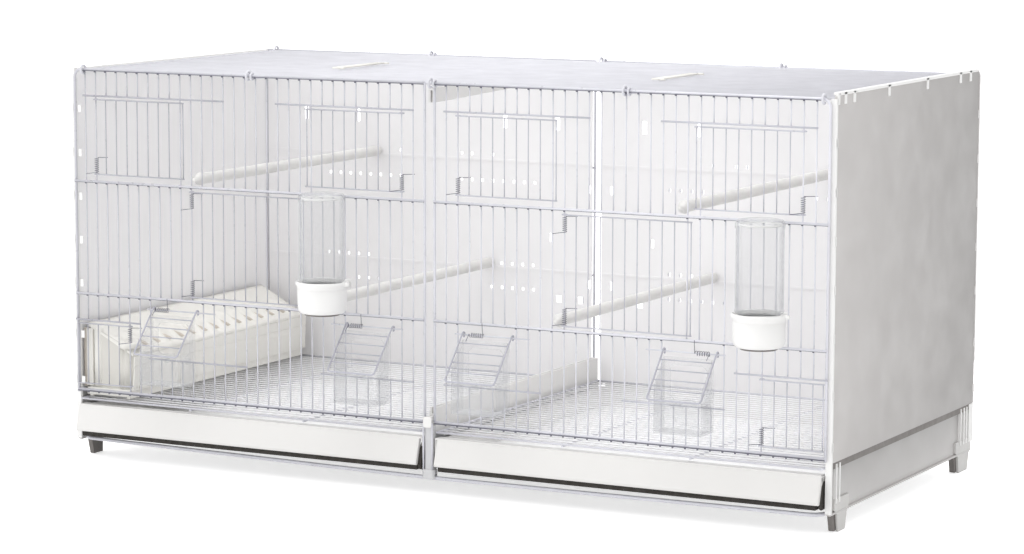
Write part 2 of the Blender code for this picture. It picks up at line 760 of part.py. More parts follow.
def make_centre():
    """The front post, with the rail behind it that carries the trays and the floor."""

    def post(bm):
        outline = rounded_rectangle((-0.0055, -0.2035), (0.0055, -0.1950), 0.002, 1)
        add_prism(bm, outline, 2, 0.0240, 0.0736)

    def web(bm):
        add_box(bm, (-0.0015, -0.1970, 0.0262), (0.0015, 0.1950, 0.0645))

    def flanges(bm):
        add_box(bm, (-0.0120, -0.1900, 0.0280), (0.0120, 0.1900, 0.0308))
        add_box(bm, (-0.0120, -0.1900, 0.0622), (0.0120, 0.1950, 0.0646))

    def plug(bm):
        outline = rounded_rectangle((-0.0075, -0.2045), (0.0075, -0.1955), 0.002, 1)
        add_prism(bm, outline, 2, 0.0172, 0.0270)

    def socket(bm):
        add_tube(bm, ((-0.03, -0.200, FOOT_BAR_Z), (0.03, -0.200, FOOT_BAR_Z)), 0.0028, 8)

    body = solid_from("centre_post", WHITE_PLASTIC, post)
    combine(body, solid_from("centre_web", WHITE_PLASTIC, web), "UNION")
    combine(body, solid_from("centre_flanges", WHITE_PLASTIC, flanges), "UNION")
    combine(body, solid_from("centre_plug", WHITE_PLASTIC, plug), "UNION")
    combine(body, solid_from("centre_socket", WHITE_PLASTIC, socket), "DIFFERENCE")

    def plate(bm):
        outline = rounded_rectangle((-0.0048, 0.0718), (0.0048, 0.0832), 0.002)
        add_prism(bm, outline, 1, -0.2060, -0.2039)

    def stem(bm):
        add_box(bm, (-0.0028, -0.2045, 0.0792), (0.0028, -0.1952, 0.0824))

    clip = solid_from("centre_clip", WHITE_PLASTIC, plate)
    combine(clip, solid_from("centre_stem", WHITE_PLASTIC, stem), "UNION")

    def low_guide(bm):
        add_box(bm, (-0.0036, -0.1940, 0.0652), (0.0036, 0.1915, 0.0915))

    def low_groove(bm):
        add_box(bm, (-0.0012, -0.1960, 0.0850), (0.0012, 0.1930, 0.0930))

    def high_guide(bm):
        outline = [(-0.1960, 0.4262), (-0.1960, 0.4110), (0.1915, 0.4210), (0.1915, 0.4262)]
        add_prism(bm, outline, 0, -0.0036, 0.0036)

    def high_groove(bm):
        add_box(bm, (-0.0012, -0.2000, 0.4090), (0.0012, 0.1930, 0.4236))

    low = solid_from("divider_bottom_guide", WHITE_PLASTIC, low_guide)
    combine(low, solid_from("low_groove", WHITE_PLASTIC, low_groove), "DIFFERENCE")
    high = solid_from("divider_top_guide", WHITE_PLASTIC, high_guide)
    combine(high, solid_from("high_groove", WHITE_PLASTIC, high_groove), "DIFFERENCE")

    def bar(bm):
        path = [(-0.4418, -0.1800, FOOT_BAR_Z + 0.0010)]
        for a, b in arc((0, 0), 0.016, 180, 270, 3):
            path.append((-0.4250 + a, -0.1840 + b, FOOT_BAR_Z))
        path += [(-x, y, z) for x, y, z in reversed(path)]
        add_tube(bm, path, 0.0023, 6)

    solid_from("foot_bar", WHITE_WIRE, bar)


# Side panels

FEET_Y = ((-0.1810, -0.1470), (0.1675, 0.2100))
CLIP_Z = (0.3840, 0.3355, 0.2875, 0.2395, 0.1915, 0.1345)


def make_side(side, way):
    """One moulded side: wall with stepped corners, edge flanges, skirt, ribs, feet and clips."""

    def spans(x0, x1):
        return sorted((way * x0, way * x1))

    def wall(bm):
        outline = [(PANEL_FRONT_Y, SKIRT_STEP_Z), (PANEL_BACK_Y, SKIRT_STEP_Z)]
        outline += [(PANEL_BACK_Y, LIP_Z)]
        outline += arc((0.1960 - 0.006, PANEL_TOP_Z - 0.006), 0.006, 0, 90, 2)
        outline += arc((-0.1900 + 0.006, PANEL_TOP_Z - 0.006), 0.006, 90, 180, 2)
        outline += [(PANEL_FRONT_Y, LIP_Z)]
        add_prism(bm, outline, 0, *spans(PANEL_INNER_X, PANEL_OUTER_X))

    def flanges(bm):
        low, high = spans(RIM_INNER_X, PANEL_OUTER_X - 0.0004)
        add_box(bm, (low, PANEL_FRONT_Y + 0.0002, 0.0215), (high, PANEL_FRONT_Y + 0.0030, LIP_Z))
        add_box(bm, (low, 0.2060, 0.1180), (high, PANEL_BACK_Y - 0.0002, LIP_Z))

    def skirt(bm):
        low, high = spans(SKIRT_INNER_X, SKIRT_OUTER_X)
        add_box(bm, (low, PANEL_FRONT_Y + 0.0010, SKIRT_BOTTOM_Z), (high, 0.2100, 0.0735))
        low, high = spans(SKIRT_INNER_X + 0.0005, PANEL_OUTER_X - 0.0002)
        add_box(bm, (low, PANEL_FRONT_Y + 0.0015, 0.0703), (high, 0.2110, 0.0725))
        add_box(bm, (low, PANEL_FRONT_Y + 0.0015, 0.0195), (high, 0.2110, 0.0219))

    def runners(bm):
        low, high = spans(0.4386, 0.4455)
        add_box(bm, (low, -0.1900, 0.0282), (high, 0.1900, 0.0308))
        add_box(bm, (low, -0.1900, 0.0620), (high, 0.1950, 0.0644))

    def feet(bm):
        for front, back in FEET_Y:
            outline = [
                (front - 0.0012, 0.0300),
                (front + 0.0030, 0.0000),
                (back - 0.0030, 0.0000),
                (back + 0.0012, 0.0300),
            ]
            add_prism(bm, outline, 0, *spans(SKIRT_INNER_X + 0.0003, SKIRT_OUTER_X - 0.0002))
            low, high = spans(0.4360, SKIRT_INNER_X + 0.0010)
            y = (front + back) / 2
            add_box(bm, (low, y - 0.0011, 0.0004), (high, y + 0.0011, 0.0240))

    def ribs(bm):
        low, high = spans(SKIRT_OUTER_X - 0.0006, PANEL_OUTER_X - 0.0006)
        for front, back in FEET_Y:
            for y in (front + 0.0035, back - 0.0055):
                add_box(bm, (low, y, 0.0008), (high, y + 0.0020, 0.0715))

    def hooks(bm):
        low, high = spans(0.4405, PANEL_OUTER_X - 0.0008)
        for y in (-0.1568, 0.0471, 0.1473):
            add_box(bm, (low, y, PANEL_TOP_Z - 0.0022), (high, y + 0.0120, PANEL_TOP_Z - 0.0004))

    def clips(bm):
        outline = [
            (0.4482, -0.1960),
            (0.4482, -0.2040),
            (0.4432, -0.2040),
            (0.4432, -0.2026),
            (0.4466, -0.2026),
            (0.4466, -0.1960),
        ]
        for z in CLIP_Z:
            add_prism(bm, [(way * x, y) for x, y in outline], 2, z, z + 0.0090)

    body = solid_from(f"side_panel_{side}", WHITE_PLASTIC, wall)
    for name, builder in (
        ("flanges", flanges),
        ("skirt", skirt),
        ("runners", runners),
        ("feet", feet),
        ("ribs", ribs),
        ("hooks", hooks),
        ("clips", clips),
    ):
        other = solid_from(f"side_{name}_{side}", WHITE_PLASTIC, builder)
        combine(body, other, "UNION").modifiers[-1].use_self = True


# Back panels

BACK_PANEL_Y = (0.1932, 0.1950)
HOLE = 0.0026
LEFT_HOLES = (
    (0.3195, -0.2580, 1),
    (0.3195, -0.1760, 2),
    (0.3195, -0.1350, 1),
    (0.2890, -0.3539, 8),
    (0.2890, -0.1760, 8),
    (0.1930, -0.3570, 5),
    (0.1930, -0.1231, 4),
    (0.1645, -0.3160, 3),
    (0.1645, -0.1362, 5),
)
RIGHT_HOLES = (
    (0.3195, 0.1450, 1),
    (0.3195, 0.1730, 2),
    (0.2890, 0.0913, 4),
    (0.2890, 0.2700, 2),
    (0.1930, 0.0920, 4),
    (0.1645, 0.0913, 6),
)
LEFT_SLOTS = (
    (-0.3870, 0.3585, 0.0030, 0.0075),
    (-0.3160, 0.3585, 0.0030, 0.0075),
    (-0.1190, 0.3585, 0.0030, 0.0075),
    (-0.0510, 0.3585, 0.0030, 0.0075),
    (-0.0095, 0.2850, 0.0018, 0.0050),
    (-0.0590, 0.2270, 0.0018, 0.0050),
    (-0.0095, 0.1750, 0.0018, 0.0050),
    (-0.0480, 0.1560, 0.0040, 0.0040),
    (-0.0200, 0.1560, 0.0040, 0.0040),
)
RIGHT_SLOTS = (
    (0.0595, 0.3585, 0.0030, 0.0075),
    (0.1280, 0.3585, 0.0030, 0.0075),
    (0.0185, 0.2850, 0.0018, 0.0050),
    (0.0706, 0.2270, 0.0018, 0.0050),
    (0.0190, 0.1750, 0.0018, 0.0050),
    (0.0550, 0.1560, 0.0040, 0.0040),
)


def make_back_panel(side, low, high, holes, slots):
    """A white sheet with two bands, round holes along them and a few slots."""

    def sheet(bm):
        add_box(bm, (low, BACK_PANEL_Y[0], 0.0650), (high, BACK_PANEL_Y[1], 0.4235))

    def bands(bm):
        for z in (0.3134, 0.1885):
            box = (low + 0.001, BACK_PANEL_Y[0] - 0.0010, z - 0.0012)
            add_box(bm, box, (high - 0.001, BACK_PANEL_Y[0] + 0.0004, z + 0.0012))

    def cuts(bm):
        for z, x, count in holes:
            for k in range(count):
                ends = (x + k * PITCH, 0.1900, z), (x + k * PITCH, 0.1980, z)
                add_tube(bm, ends, HOLE, 4, (0, 0, 1), math.pi / 4)
        for x, z, wide, tall in slots:
            add_box(bm, (x - wide, 0.1900, z - tall), (x + wide, 0.1980, z + tall))

    body = solid_from(f"back_panel_{side}", WHITE_PLASTIC, sheet)
    combine(body, solid_from(f"back_bands_{side}", WHITE_PLASTIC, bands), "UNION")
    combine(body, solid_from(f"back_cuts_{side}", WHITE_PLASTIC, cuts), "DIFFERENCE")


# Perches, feeder cups, drinkers and the seed trough

PERCHES = (
    ("perch_upper_left", -0.2869, 0.3170),
    ("perch_upper_right", 0.2868, 0.3170),
    ("perch_lower_left", -0.1361, 0.1930),
    ("perch_lower_right", 0.1486, 0.1930),
)


def make_perch(name, x, z):
    """A round bar, a flat ferrule against the front wires and a nub between two of them."""
    z += 0.0006

    def bar(bm):
        add_tube(bm, ((x, -0.1940, z), (x, 0.1905, z)), 0.0060, 8)

    def ferrule(bm):
        add_tube(bm, ((x, -0.1960, z), (x, -0.1920, z)), 0.0070, 8)

    def nub(bm):
        add_box(bm, (x - 0.0022, -0.2052, z - 0.0030), (x + 0.0022, -0.1940, z + 0.0030))

    body = solid_from(name, PERCH_PLASTIC, bar)
    combine(body, solid_from(f"{name}_ferrule", PERCH_PLASTIC, ferrule), "UNION")
    combine(body, solid_from(f"{name}_nub", PERCH_PLASTIC, nub), "UNION")


CUP_HALF_WIDTH = 0.0272
CUP_BACK_Y = -0.2050
CUP_BOTTOM_Z = 0.0945
CUP_WALL = 0.0015


def make_feeder_cup(half, number, flap):
    """A clear scoop outside the wires, with a window in its tall back and two hooks."""
    left, right = (wire_x(half, index) for index in flap.arms)
    x = (left + right) / 2
    lip = flap_point(x, 0.0560, 0.0009)
    cheek = flap_point(x, 0.0070, 0.0009)

    def profile(inset):
        return [
            (CUP_BACK_Y - inset, CUP_BOTTOM_Z + inset),
            (lip.y + 0.0030 + inset, CUP_BOTTOM_Z + inset),
            (lip.y + inset, lip.z),
        ]

    def outside(bm):
        outline = profile(0.0) + [(cheek.y, cheek.z), (CUP_BACK_Y, cheek.z)]
        add_prism(bm, outline, 0, x - CUP_HALF_WIDTH, x + CUP_HALF_WIDTH)

    def plan(bm):
        outline = rounded_rectangle(
            (x - CUP_HALF_WIDTH, lip.y - 0.0005),
            (x + CUP_HALF_WIDTH, CUP_BACK_Y + 0.0120),
            0.0100,
        )
        add_prism(bm, outline, 2, 0.08, 0.18)

    def inside(bm):
        outline = profile(CUP_WALL)
        outline += [(lip.y + CUP_WALL, 0.19), (CUP_BACK_Y - CUP_WALL, 0.19)]
        width = CUP_HALF_WIDTH - CUP_WALL
        add_prism(bm, outline, 0, x - width, x + width)

    def window(bm):
        outline = rounded_rectangle((x - 0.0200, 0.1250), (x + 0.0200, 0.1600), 0.004, 1)
        add_prism(bm, outline, 1, CUP_BACK_Y - 0.004, CUP_BACK_Y + 0.004)

    def hooks(bm):
        outline = [
            (CUP_BACK_Y - 0.0010, 0.1214),
            (CUP_BACK_Y - 0.0010, 0.1196),
            (-0.2006, 0.1196),
            (-0.2006, 0.1150),
            (-0.1990, 0.1150),
            (-0.1990, 0.1214),
        ]
        for index in (flap.cut[0] + 0.5, flap.cut[1] - 0.5):
            place = wire_x(half, index)
            add_prism(bm, outline, 0, place - 0.0030, place + 0.0030)

    name = f"feeder_cup_{number}"
    body = solid_from(name, CLEAR_PLASTIC, outside)
    combine(body, solid_from(f"{name}_plan", CLEAR_PLASTIC, plan), "INTERSECT")
    combine(body, solid_from(f"{name}_inside", CLEAR_PLASTIC, inside), "DIFFERENCE")
    combine(body, solid_from(f"{name}_window", CLEAR_PLASTIC, window), "DIFFERENCE")
    other = solid_from(f"{name}_hooks", CLEAR_PLASTIC, hooks)
    combine(body, other, "UNION").modifiers[-1].use_self = True


DRINKERS = (("left", -0.1105, (22.5, 24.5)), ("right", 0.3860, (27.5, 28.5)))
DRINKER_Y = -0.2329
DRINKER_SIDES = 12


def spun(bm, centre, profile, sides):
    """A closed profile of (radius, z) turned about an upright axis."""
    rings = []
    for k in range(sides):
        angle = 2 * math.pi * k / sides
        rings.append(
            [
                bm.verts.new(
                    (centre[0] + r * math.cos(angle), centre[1] + r * math.sin(angle), z)
                )
                for r, z in profile
            ]
        )
    count = len(profile)
    for k in range(sides):
        first, second = rings[k], rings[(k + 1) % sides]
        for j in range(count - 1):
            bm.faces.new((first[j], first[j + 1], second[j + 1], second[j]))
    bm.faces.new([ring[0] for ring in rings])
    bm.faces.new([ring[-1] for ring in rings][::-1])


def make_drinker(side, x, hook_places):
    """A white cup hooked on the wires, and a clear bottle that lifts out of it."""
    half = LEFT if side == "left" else RIGHT

    def cup(bm):
        profile = [
            (0.0200, 0.1866),
            (0.0250, 0.1866),
            (0.0262, 0.2165),
            (0.0279, 0.2180),
            (0.0279, 0.2225),
            (0.0245, 0.2225),
            (0.0240, 0.1885),
        ]
        spun(bm, (x, DRINKER_Y), profile, DRINKER_SIDES)

    def hooks(bm):
        outline = [
            (DRINKER_Y + 0.0225, 0.2212),
            (DRINKER_Y + 0.0225, 0.2185),
            (-0.1988, 0.2185),
            (-0.1988, 0.2120),
            (-0.1970, 0.2120),
            (-0.1970, 0.2212),
        ]
        for index in hook_places:
            place = wire_x(half, index)
            add_prism(bm, outline, 0, place - 0.0030, place + 0.0030)

    def knob(bm):
        ends = (x + 0.0255, DRINKER_Y, 0.2202), (x + 0.0325, DRINKER_Y, 0.2202)
        add_tube(bm, ends, 0.0021, 8)

    body = solid_from(f"drinker_cup_{side}", WHITE_PLASTIC, cup)
    other = solid_from(f"drinker_hooks_{side}", WHITE_PLASTIC, hooks)
    combine(body, other, "UNION").modifiers[-1].use_self = True
    combine(body, solid_from(f"drinker_knob_{side}", WHITE_PLASTIC, knob), "UNION")

    def body_outline(inset):
        radius = 0.0250 - inset
        points = arc((x, DRINKER_Y), radius, 180, 360, 6)
        return points + [(x + radius, -0.2060 - inset), (x - radius, -0.2060 - inset)]

    def shell(bm):
        add_prism(bm, body_outline(0.0), 2, 0.2235, 0.3145)

    def neck(bm):
        add_tube(bm, ((x, DRINKER_Y, 0.2000), (x, DRINKER_Y, 0.2245)), 0.0215, 10)

    def hollow(bm):
        add_prism(bm, body_outline(0.0014), 2, 0.2250, 0.3130)

    def mouth(bm):
        add_tube(bm, ((x, DRINKER_Y, 0.1900), (x, DRINKER_Y, 0.2260)), 0.0201, 10)

    bottle = solid_from(f"drinker_bottle_{side}", CLEAR_PLASTIC, shell)
    others = [solid_from(f"bottle_neck_{side}", CLEAR_PLASTIC, neck)]
    combine(bottle, others[0], "UNION")
    for name, builder in (("hollow", hollow), ("mouth", mouth)):
        others.append(solid_from(f"bottle_{name}_{side}", CLEAR_PLASTIC, builder))
        combine(bottle, others[-1], "DIFFERENCE")


TROUGH_X = (-0.4412, -0.3785)
TROUGH_Y = (-0.1915, 0.1750)


def make_trough():
    """A seed trough behind the left trough door, with a ribbed cover that slants down."""
    left, right = TROUGH_X
    front, back = TROUGH_Y

    def outside(bm):
        outline = [
            (left + 0.002, 0.0795),
            (right - 0.004, 0.0795),
            (right, 0.0990),
            (right, 0.1150),
            (left, 0.1490),
            (left, 0.0840),
        ]
        add_prism(bm, outline, 1, front, back)

    def inside(bm):
        outline = [
            (left + 0.0035, 0.0812),
            (right - 0.0052, 0.0812),
            (right - 0.0016, 0.0990),
            (right - 0.0016, 0.1160),
            (left + 0.0016, 0.1502),
            (left + 0.0016, 0.0840),
        ]
        add_prism(bm, outline, 1, front + 0.0020, back - 0.0020)
        add_box(bm, (left - 0.01, front - 0.01, 0.1486), (right, back + 0.01, 0.16))

    def lift(bm):
        add_box(bm, (left + 0.004, front + 0.001, 0.0686), (left + 0.008, back - 0.001, 0.0800))
        add_box(bm, (right - 0.009, front + 0.001, 0.0686), (right - 0.005, back - 0.001, 0.0800))

    def flutes(bm):
        for k in range(6):
            x = left + 0.0045 + k * 0.0098
            box = (x, front - 0.0010, 0.0840)
            add_box(bm, box, (x + 0.0042, front + 0.0010, 0.1100))

    body = solid_from("seed_trough", CREAM_PLASTIC, outside)
    combine(body, solid_from("trough_inside", CREAM_PLASTIC, inside), "DIFFERENCE")
    combine(body, solid_from("trough_feet", CREAM_PLASTIC, lift), "UNION")
    combine(body, solid_from("trough_flutes", CREAM_PLASTIC, flutes), "UNION")

    slope = (0.1490 - 0.1150) / (left - right)

    def height(x):
        return 0.1150 + slope * (x - right)

    def cover(bm):
        steps = 8
        top = []
        bottom = []
        for k in range(steps + 1):
            x = left + 0.0010 + (right - left - 0.0020) * k / steps
            wave = 0.0012 * (k % 2)
            top.append((x, height(x) + 0.0022 + wave))
            bottom.append((x, height(x) + 0.0006 + wave))
        add_prism(bm, top + bottom[::-1], 1, front + 0.001, back - 0.001)

    def feeding_slots(bm):
        for k in range(4):
            y = front + 0.036 + k * 0.082
            add_box(bm, (left + 0.0240, y, 0.10), (right - 0.0180, y + 0.040, 0.17))

    lid = solid_from("seed_trough_cover", CREAM_PLASTIC, cover)
    combine(lid, solid_from("cover_slots", CREAM_PLASTIC, feeding_slots), "DIFFERENCE")


number = 0
for half in HALVES:
    make_front(half)
    for door in (*half.uppers, half.main, half.trough):
        make_door(half, door)
    for flap in half.flaps:
        number += 1
        make_flap(half, flap)
        make_feeder_cup(half, number, flap)

for side, way in (("left", -1), ("right", 1)):
    make_side(side, way)
    make_floor(side, way)
    make_tray(side, way)
make_back("left", (wire_x(LEFT, -1), wire_x(LEFT, 31)))
make_back("right", (wire_x(RIGHT, 0), wire_x(RIGHT, 32)))
make_back_panel("left", -0.4405, -0.0062, LEFT_HOLES, LEFT_SLOTS)
make_back_panel("right", 0.0062, 0.4405, RIGHT_HOLES, RIGHT_SLOTS)
make_roof()
for side, x, wires in zip(("left", "right"), HANDLE_X, HANDLE_WIRES):
    make_handle(f"carry_handle_{side}", x, wires)
make_centre()
for name, x, z in PERCHES:
    make_perch(name, x, z)
for side, x, places in DRINKERS:
    make_drinker(side, x, places)
make_trough()

for piece in bpy.data.objects:
    piece.location.y += ORIGIN_BACK
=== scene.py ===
# %% [markdown]
# # A bird breeding cage, dressed for the camera
#
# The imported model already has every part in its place, but its wires are square bars.
# Here each wire becomes round, the plastics get their mould grain and colour, and the
# whole cage stands on a pale floor under soft lamps. All lengths are in metres.

import math

import bmesh
import bpy
from mathutils import Matrix, Vector


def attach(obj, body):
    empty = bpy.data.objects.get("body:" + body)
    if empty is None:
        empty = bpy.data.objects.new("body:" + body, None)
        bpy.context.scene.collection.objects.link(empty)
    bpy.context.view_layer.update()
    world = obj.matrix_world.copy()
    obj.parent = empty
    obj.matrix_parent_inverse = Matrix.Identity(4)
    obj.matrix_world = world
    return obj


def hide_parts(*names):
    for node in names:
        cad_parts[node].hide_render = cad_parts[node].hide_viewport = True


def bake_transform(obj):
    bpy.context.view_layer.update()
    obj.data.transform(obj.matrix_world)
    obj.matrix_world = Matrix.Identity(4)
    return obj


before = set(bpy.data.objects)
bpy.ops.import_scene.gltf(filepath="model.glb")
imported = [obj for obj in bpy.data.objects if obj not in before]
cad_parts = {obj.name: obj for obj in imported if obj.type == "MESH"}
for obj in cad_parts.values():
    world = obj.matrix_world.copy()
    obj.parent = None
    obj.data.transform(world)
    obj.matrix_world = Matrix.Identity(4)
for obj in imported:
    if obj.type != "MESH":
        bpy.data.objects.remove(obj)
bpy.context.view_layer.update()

# %% [markdown]
# ## Camera
#
# The camera stands to the right of the cage and a little above it, far enough back
# for a long lens, so the upright wires stay almost parallel. Its place comes from
# matching the wires' pitch, which is the same all along the front.

# %% The camera
CAMERA_PLACE = Vector((1.6222, -3.0955, 0.6678))
CAMERA_TURN = math.radians(27.607)
CAMERA_DOWN = math.radians(7.474)
CAMERA_ROLL = math.radians(0.149)
LENS_PIXELS = 3238.6
FRAME_WIDTH = 1024

camera = bpy.data.objects.new("camera", bpy.data.cameras.new("camera"))
bpy.context.scene.collection.objects.link(camera)
camera.data.sensor_width = 36.0
camera.data.lens = 36.0 * LENS_PIXELS / FRAME_WIDTH
camera.data.clip_start = 0.1
turn = Matrix.Rotation(CAMERA_TURN, 4, "Z")
tilt = Matrix.Rotation(math.pi / 2 - CAMERA_DOWN, 4, "X")
roll = Matrix.Rotation(CAMERA_ROLL, 4, "Z")
camera.matrix_world = Matrix.Translation(CAMERA_PLACE) @ turn @ tilt @ roll
bpy.context.scene.camera = camera
print("lens:", round(camera.data.lens, 1), "mm")

# %% [markdown]
# ## Floor and light
#
# The cage is almost white on white, so most light comes from a pale world, which is
# brighter toward the front left and shapes the right side. Three large weak lamps add
# to it, the strongest above. With stronger lamps the pale plastics would clip to white.
# The floor keeps a faint shadow, and the camera sees plain white behind it all.

# %% World, floor and lamps
scene = bpy.context.scene
scene.view_settings.view_transform = "Standard"
WHITE_LIGHT = (1, 1, 1, 1)


def set_inputs(node, **values):
    """Sets a node's sockets by name, with _ for a space."""
    for name, value in values.items():
        node.inputs[name.replace("_", " ")].default_value = value


def feed(tree, node, sources):
    """Links outputs into a node's sockets, each socket given by its name or number."""
    for socket, source in sources.items():
        tree.links.new(source, node.inputs[socket])


def add_node(tree, kind, sources=None, operation=None, **values):
    """A new shader node with what feeds it, its operation and its other sockets."""
    node = tree.nodes.new(kind)
    if operation:
        node.operation = operation
    set_inputs(node, **values)
    feed(tree, node, sources or {})
    return node


def combine(tree, operation, first, second):
    """The result of an operation on two outputs."""
    return add_node(tree, "ShaderNodeMath", {0: first, 1: second}, operation).outputs[0]


def seen_rays(tree):
    """1 for camera, mirror and glass rays, and 0 for the rays that carry light."""
    path = add_node(tree, "ShaderNodeLightPath").outputs
    seen = combine(tree, "MAXIMUM", path["Is Camera Ray"], path["Is Glossy Ray"])
    return combine(tree, "MAXIMUM", seen, path["Is Transmission Ray"])


def white_behind(tree, shader, output):
    """Shows plain white to the seen rays and the given light to the rest."""
    white = add_node(tree, "ShaderNodeBackground", Color=WHITE_LIGHT, Strength=1.0)
    sources = {0: seen_rays(tree), 1: shader.outputs[0], 2: white.outputs[0]}
    mix = add_node(tree, "ShaderNodeMixShader", sources)
    feed(tree, output, {"Surface": mix.outputs[0]})


WORLD_BRIGHT = 1.38
WORLD_DIM = 0.54
BRIGHT_WAY = (-0.8, -0.6, 0.0)
AIM = Vector((0, 0, 0.2))
world = bpy.data.worlds.new("studio")
scene.world = world
world.use_nodes = True
tree = world.node_tree
sky = tree.nodes["Background"]
set_inputs(sky, Color=WHITE_LIGHT)
way = add_node(tree, "ShaderNodeTexCoord").outputs["Generated"]
side_on = add_node(tree, "ShaderNodeVectorMath", {0: way}, "DOT_PRODUCT")
side_on.inputs[1].default_value = BRIGHT_WAY
level = add_node(tree, "ShaderNodeMapRange", {"Value": side_on.outputs["Value"]}, From_Min=-1.0)
set_inputs(level, To_Min=WORLD_DIM, To_Max=WORLD_BRIGHT)
feed(tree, sky, {"Strength": level.outputs["Result"]})
white_behind(tree, sky, tree.nodes["World Output"])


def lamp(name, place, size, power):
    """A square area lamp that faces the cage's middle."""
    light = bpy.data.lights.new(name, "AREA")
    light.size = size
    light.energy = power
    obj = bpy.data.objects.new(name, light)
    scene.collection.objects.link(obj)
    obj.location = place
    obj.rotation_euler = (AIM - Vector(place)).to_track_quat("-Z", "Y").to_euler()


lamp("lamp_key", (1.5, -2.5, 1.3), 1.8, 4)
lamp("lamp_left", (-2.4, -1.7, 1.2), 1.8, 7)
lamp("lamp_above", (0.0, 0.1, 2.4), 2.2, 24)
print("lamps:", len(bpy.data.lights))

# %% [markdown]
# ## Shared effects
#
# Moulded plastic is never quite even: it has a fine grain from the mould and slow
# changes of tone. Coated wire has a slightly lumpy skin, which the same noise can show.
# Wide parts are also darker toward the end that gets less light. Many materials need
# these two effects, so each is one node group with its own inputs.

# %% Node groups
def new_group(name, inputs, outputs):
    """An empty shader node group whose named inputs and outputs are plain numbers."""
    group = bpy.data.node_groups.new(name, "ShaderNodeTree")
    kind = "NodeSocketFloat"
    for label, default in inputs.items():
        socket = group.interface.new_socket(label, in_out="INPUT", socket_type=kind)
        socket.default_value = default
    for label in outputs:
        group.interface.new_socket(label, in_out="OUTPUT", socket_type=kind)
    start = group.nodes.new("NodeGroupInput")
    end = group.nodes.new("NodeGroupOutput")
    return group, start.outputs, end


def noise(group, scale, detail, factor=1.0):
    """A noise in object space, its scale taken from an input."""
    place = add_node(group, "ShaderNodeTexCoord").outputs["Object"]
    scaled = add_node(group, "ShaderNodeMath", {0: scale}, "MULTIPLY")
    scaled.inputs[1].default_value = factor
    sources = {"Vector": place, "Scale": scaled.outputs[0]}
    return add_node(group, "ShaderNodeTexNoise", sources, Detail=detail).outputs["Fac"]


def ranged(group, sources, low, high):
    """Maps 0.3..0.7 of a noise to low..high, where low may come from an input."""
    node = add_node(group, "ShaderNodeMapRange", sources, From_Min=0.3, From_Max=0.7)
    set_inputs(node, To_Min=low, To_Max=high)
    return node.outputs["Result"]


def make_surface_group():
    """Fine grain as a height, and slow changes as a shade to multiply a colour by."""
    group, start, end = new_group(
        "mould_grain",
        {"Grain Scale": 900.0, "Patch Scale": 9.0, "Darkest Shade": 0.94},
        ("Height", "Shade", "Gloss"),
    )
    grain = noise(group, start["Grain Scale"], 2.0)
    patches = noise(group, start["Patch Scale"], 4.0)
    scuffs = noise(group, start["Patch Scale"], 8.0, 6.0)
    sources = {"Value": patches, "To Min": start["Darkest Shade"]}
    shade = ranged(group, sources, 0.94, 1.0)
    gloss = ranged(group, {"Value": scuffs}, 0.0, 1.0)
    feed(group, end, {"Height": grain, "Shade": shade, "Gloss": gloss})
    return group


def make_fade_group():
    """A shade that falls in one direction, for wide parts whose far end gets less light."""
    group, start, end = new_group(
        "fade_along",
        {"Near": -0.2, "Far": 0.2, "Far Shade": 0.85, "X": 0.0, "Y": 0.0, "Z": 0.0},
        ("Shade",),
    )
    place = add_node(group, "ShaderNodeTexCoord").outputs["Object"]
    way = add_node(group, "ShaderNodeCombineXYZ", {label: start[label] for label in "XYZ"})
    sources = {0: place, 1: way.outputs["Vector"]}
    along = add_node(group, "ShaderNodeVectorMath", sources, "DOT_PRODUCT").outputs["Value"]
    sources = {"Value": along, "From Min": start["Near"], "From Max": start["Far"]}
    sources["To Max"] = start["Far Shade"]
    node = add_node(group, "ShaderNodeMapRange", sources, To_Min=1.0)
    feed(group, end, {"Shade": node.outputs["Result"]})
    return group


SURFACE = make_surface_group()
FADE = make_fade_group()
for group in (SURFACE, FADE):
    print("group:", group.name, [item.name for item in group.interface.items_tree])

# %% [markdown]
# ## Materials
#
# Every finish on the cage is a plain one: coated wire, spring steel, white and cream plastic and
# clear plastic. They differ in colour, gloss and grain, so one function makes them all. Its numbers
# are the roughness, how fine and how high the grain is, and how dark and how fine the patches are.
# Some of these colours are painted light and shade: darker copies for parts in shade, dark pieces
# where there is only shade, and brighter copies for the floor wires and the trays' insides.

# %% Materials
def finish(name, colour, rough, grain, bump, dark, patch=9.0, fade=None, **sockets):
    """A Principled material whose colour, gloss and bump come from the shared groups."""
    material = bpy.data.materials.new(name)
    material.use_nodes = True
    tree = material.node_tree
    shader = tree.nodes["Principled BSDF"]
    set_inputs(shader, **sockets)
    surface = tree.nodes.new("ShaderNodeGroup")
    surface.node_tree = SURFACE
    set_inputs(surface, Grain_Scale=grain, Patch_Scale=patch, Darkest_Shade=dark)
    shade = surface.outputs["Shade"]
    if fade:
        along = tree.nodes.new("ShaderNodeGroup")
        along.node_tree = FADE
        set_inputs(along, **fade)
        shade = combine(tree, "MULTIPLY", shade, along.outputs["Shade"])
    tint = tree.nodes.new("ShaderNodeMix")
    tint.data_type = "RGBA"
    tint.blend_type = "MULTIPLY"
    set_inputs(tint, Factor=1.0, A=(*colour, 1.0))
    feed(tree, tint, {"B": shade})
    gloss = add_node(tree, "ShaderNodeMapRange", {"Value": surface.outputs["Gloss"]})
    set_inputs(gloss, To_Min=rough * 0.85, To_Max=min(rough * 1.2, 1.0))
    height = {"Height": surface.outputs["Height"]}
    raised = add_node(tree, "ShaderNodeBump", height, Strength=bump, Distance=0.0002)
    feed(tree, shader, {"Base Color": tint.outputs["Result"], "Roughness": gloss.outputs["Result"]})
    feed(tree, shader, {"Normal": raised.outputs["Normal"]})
    return material


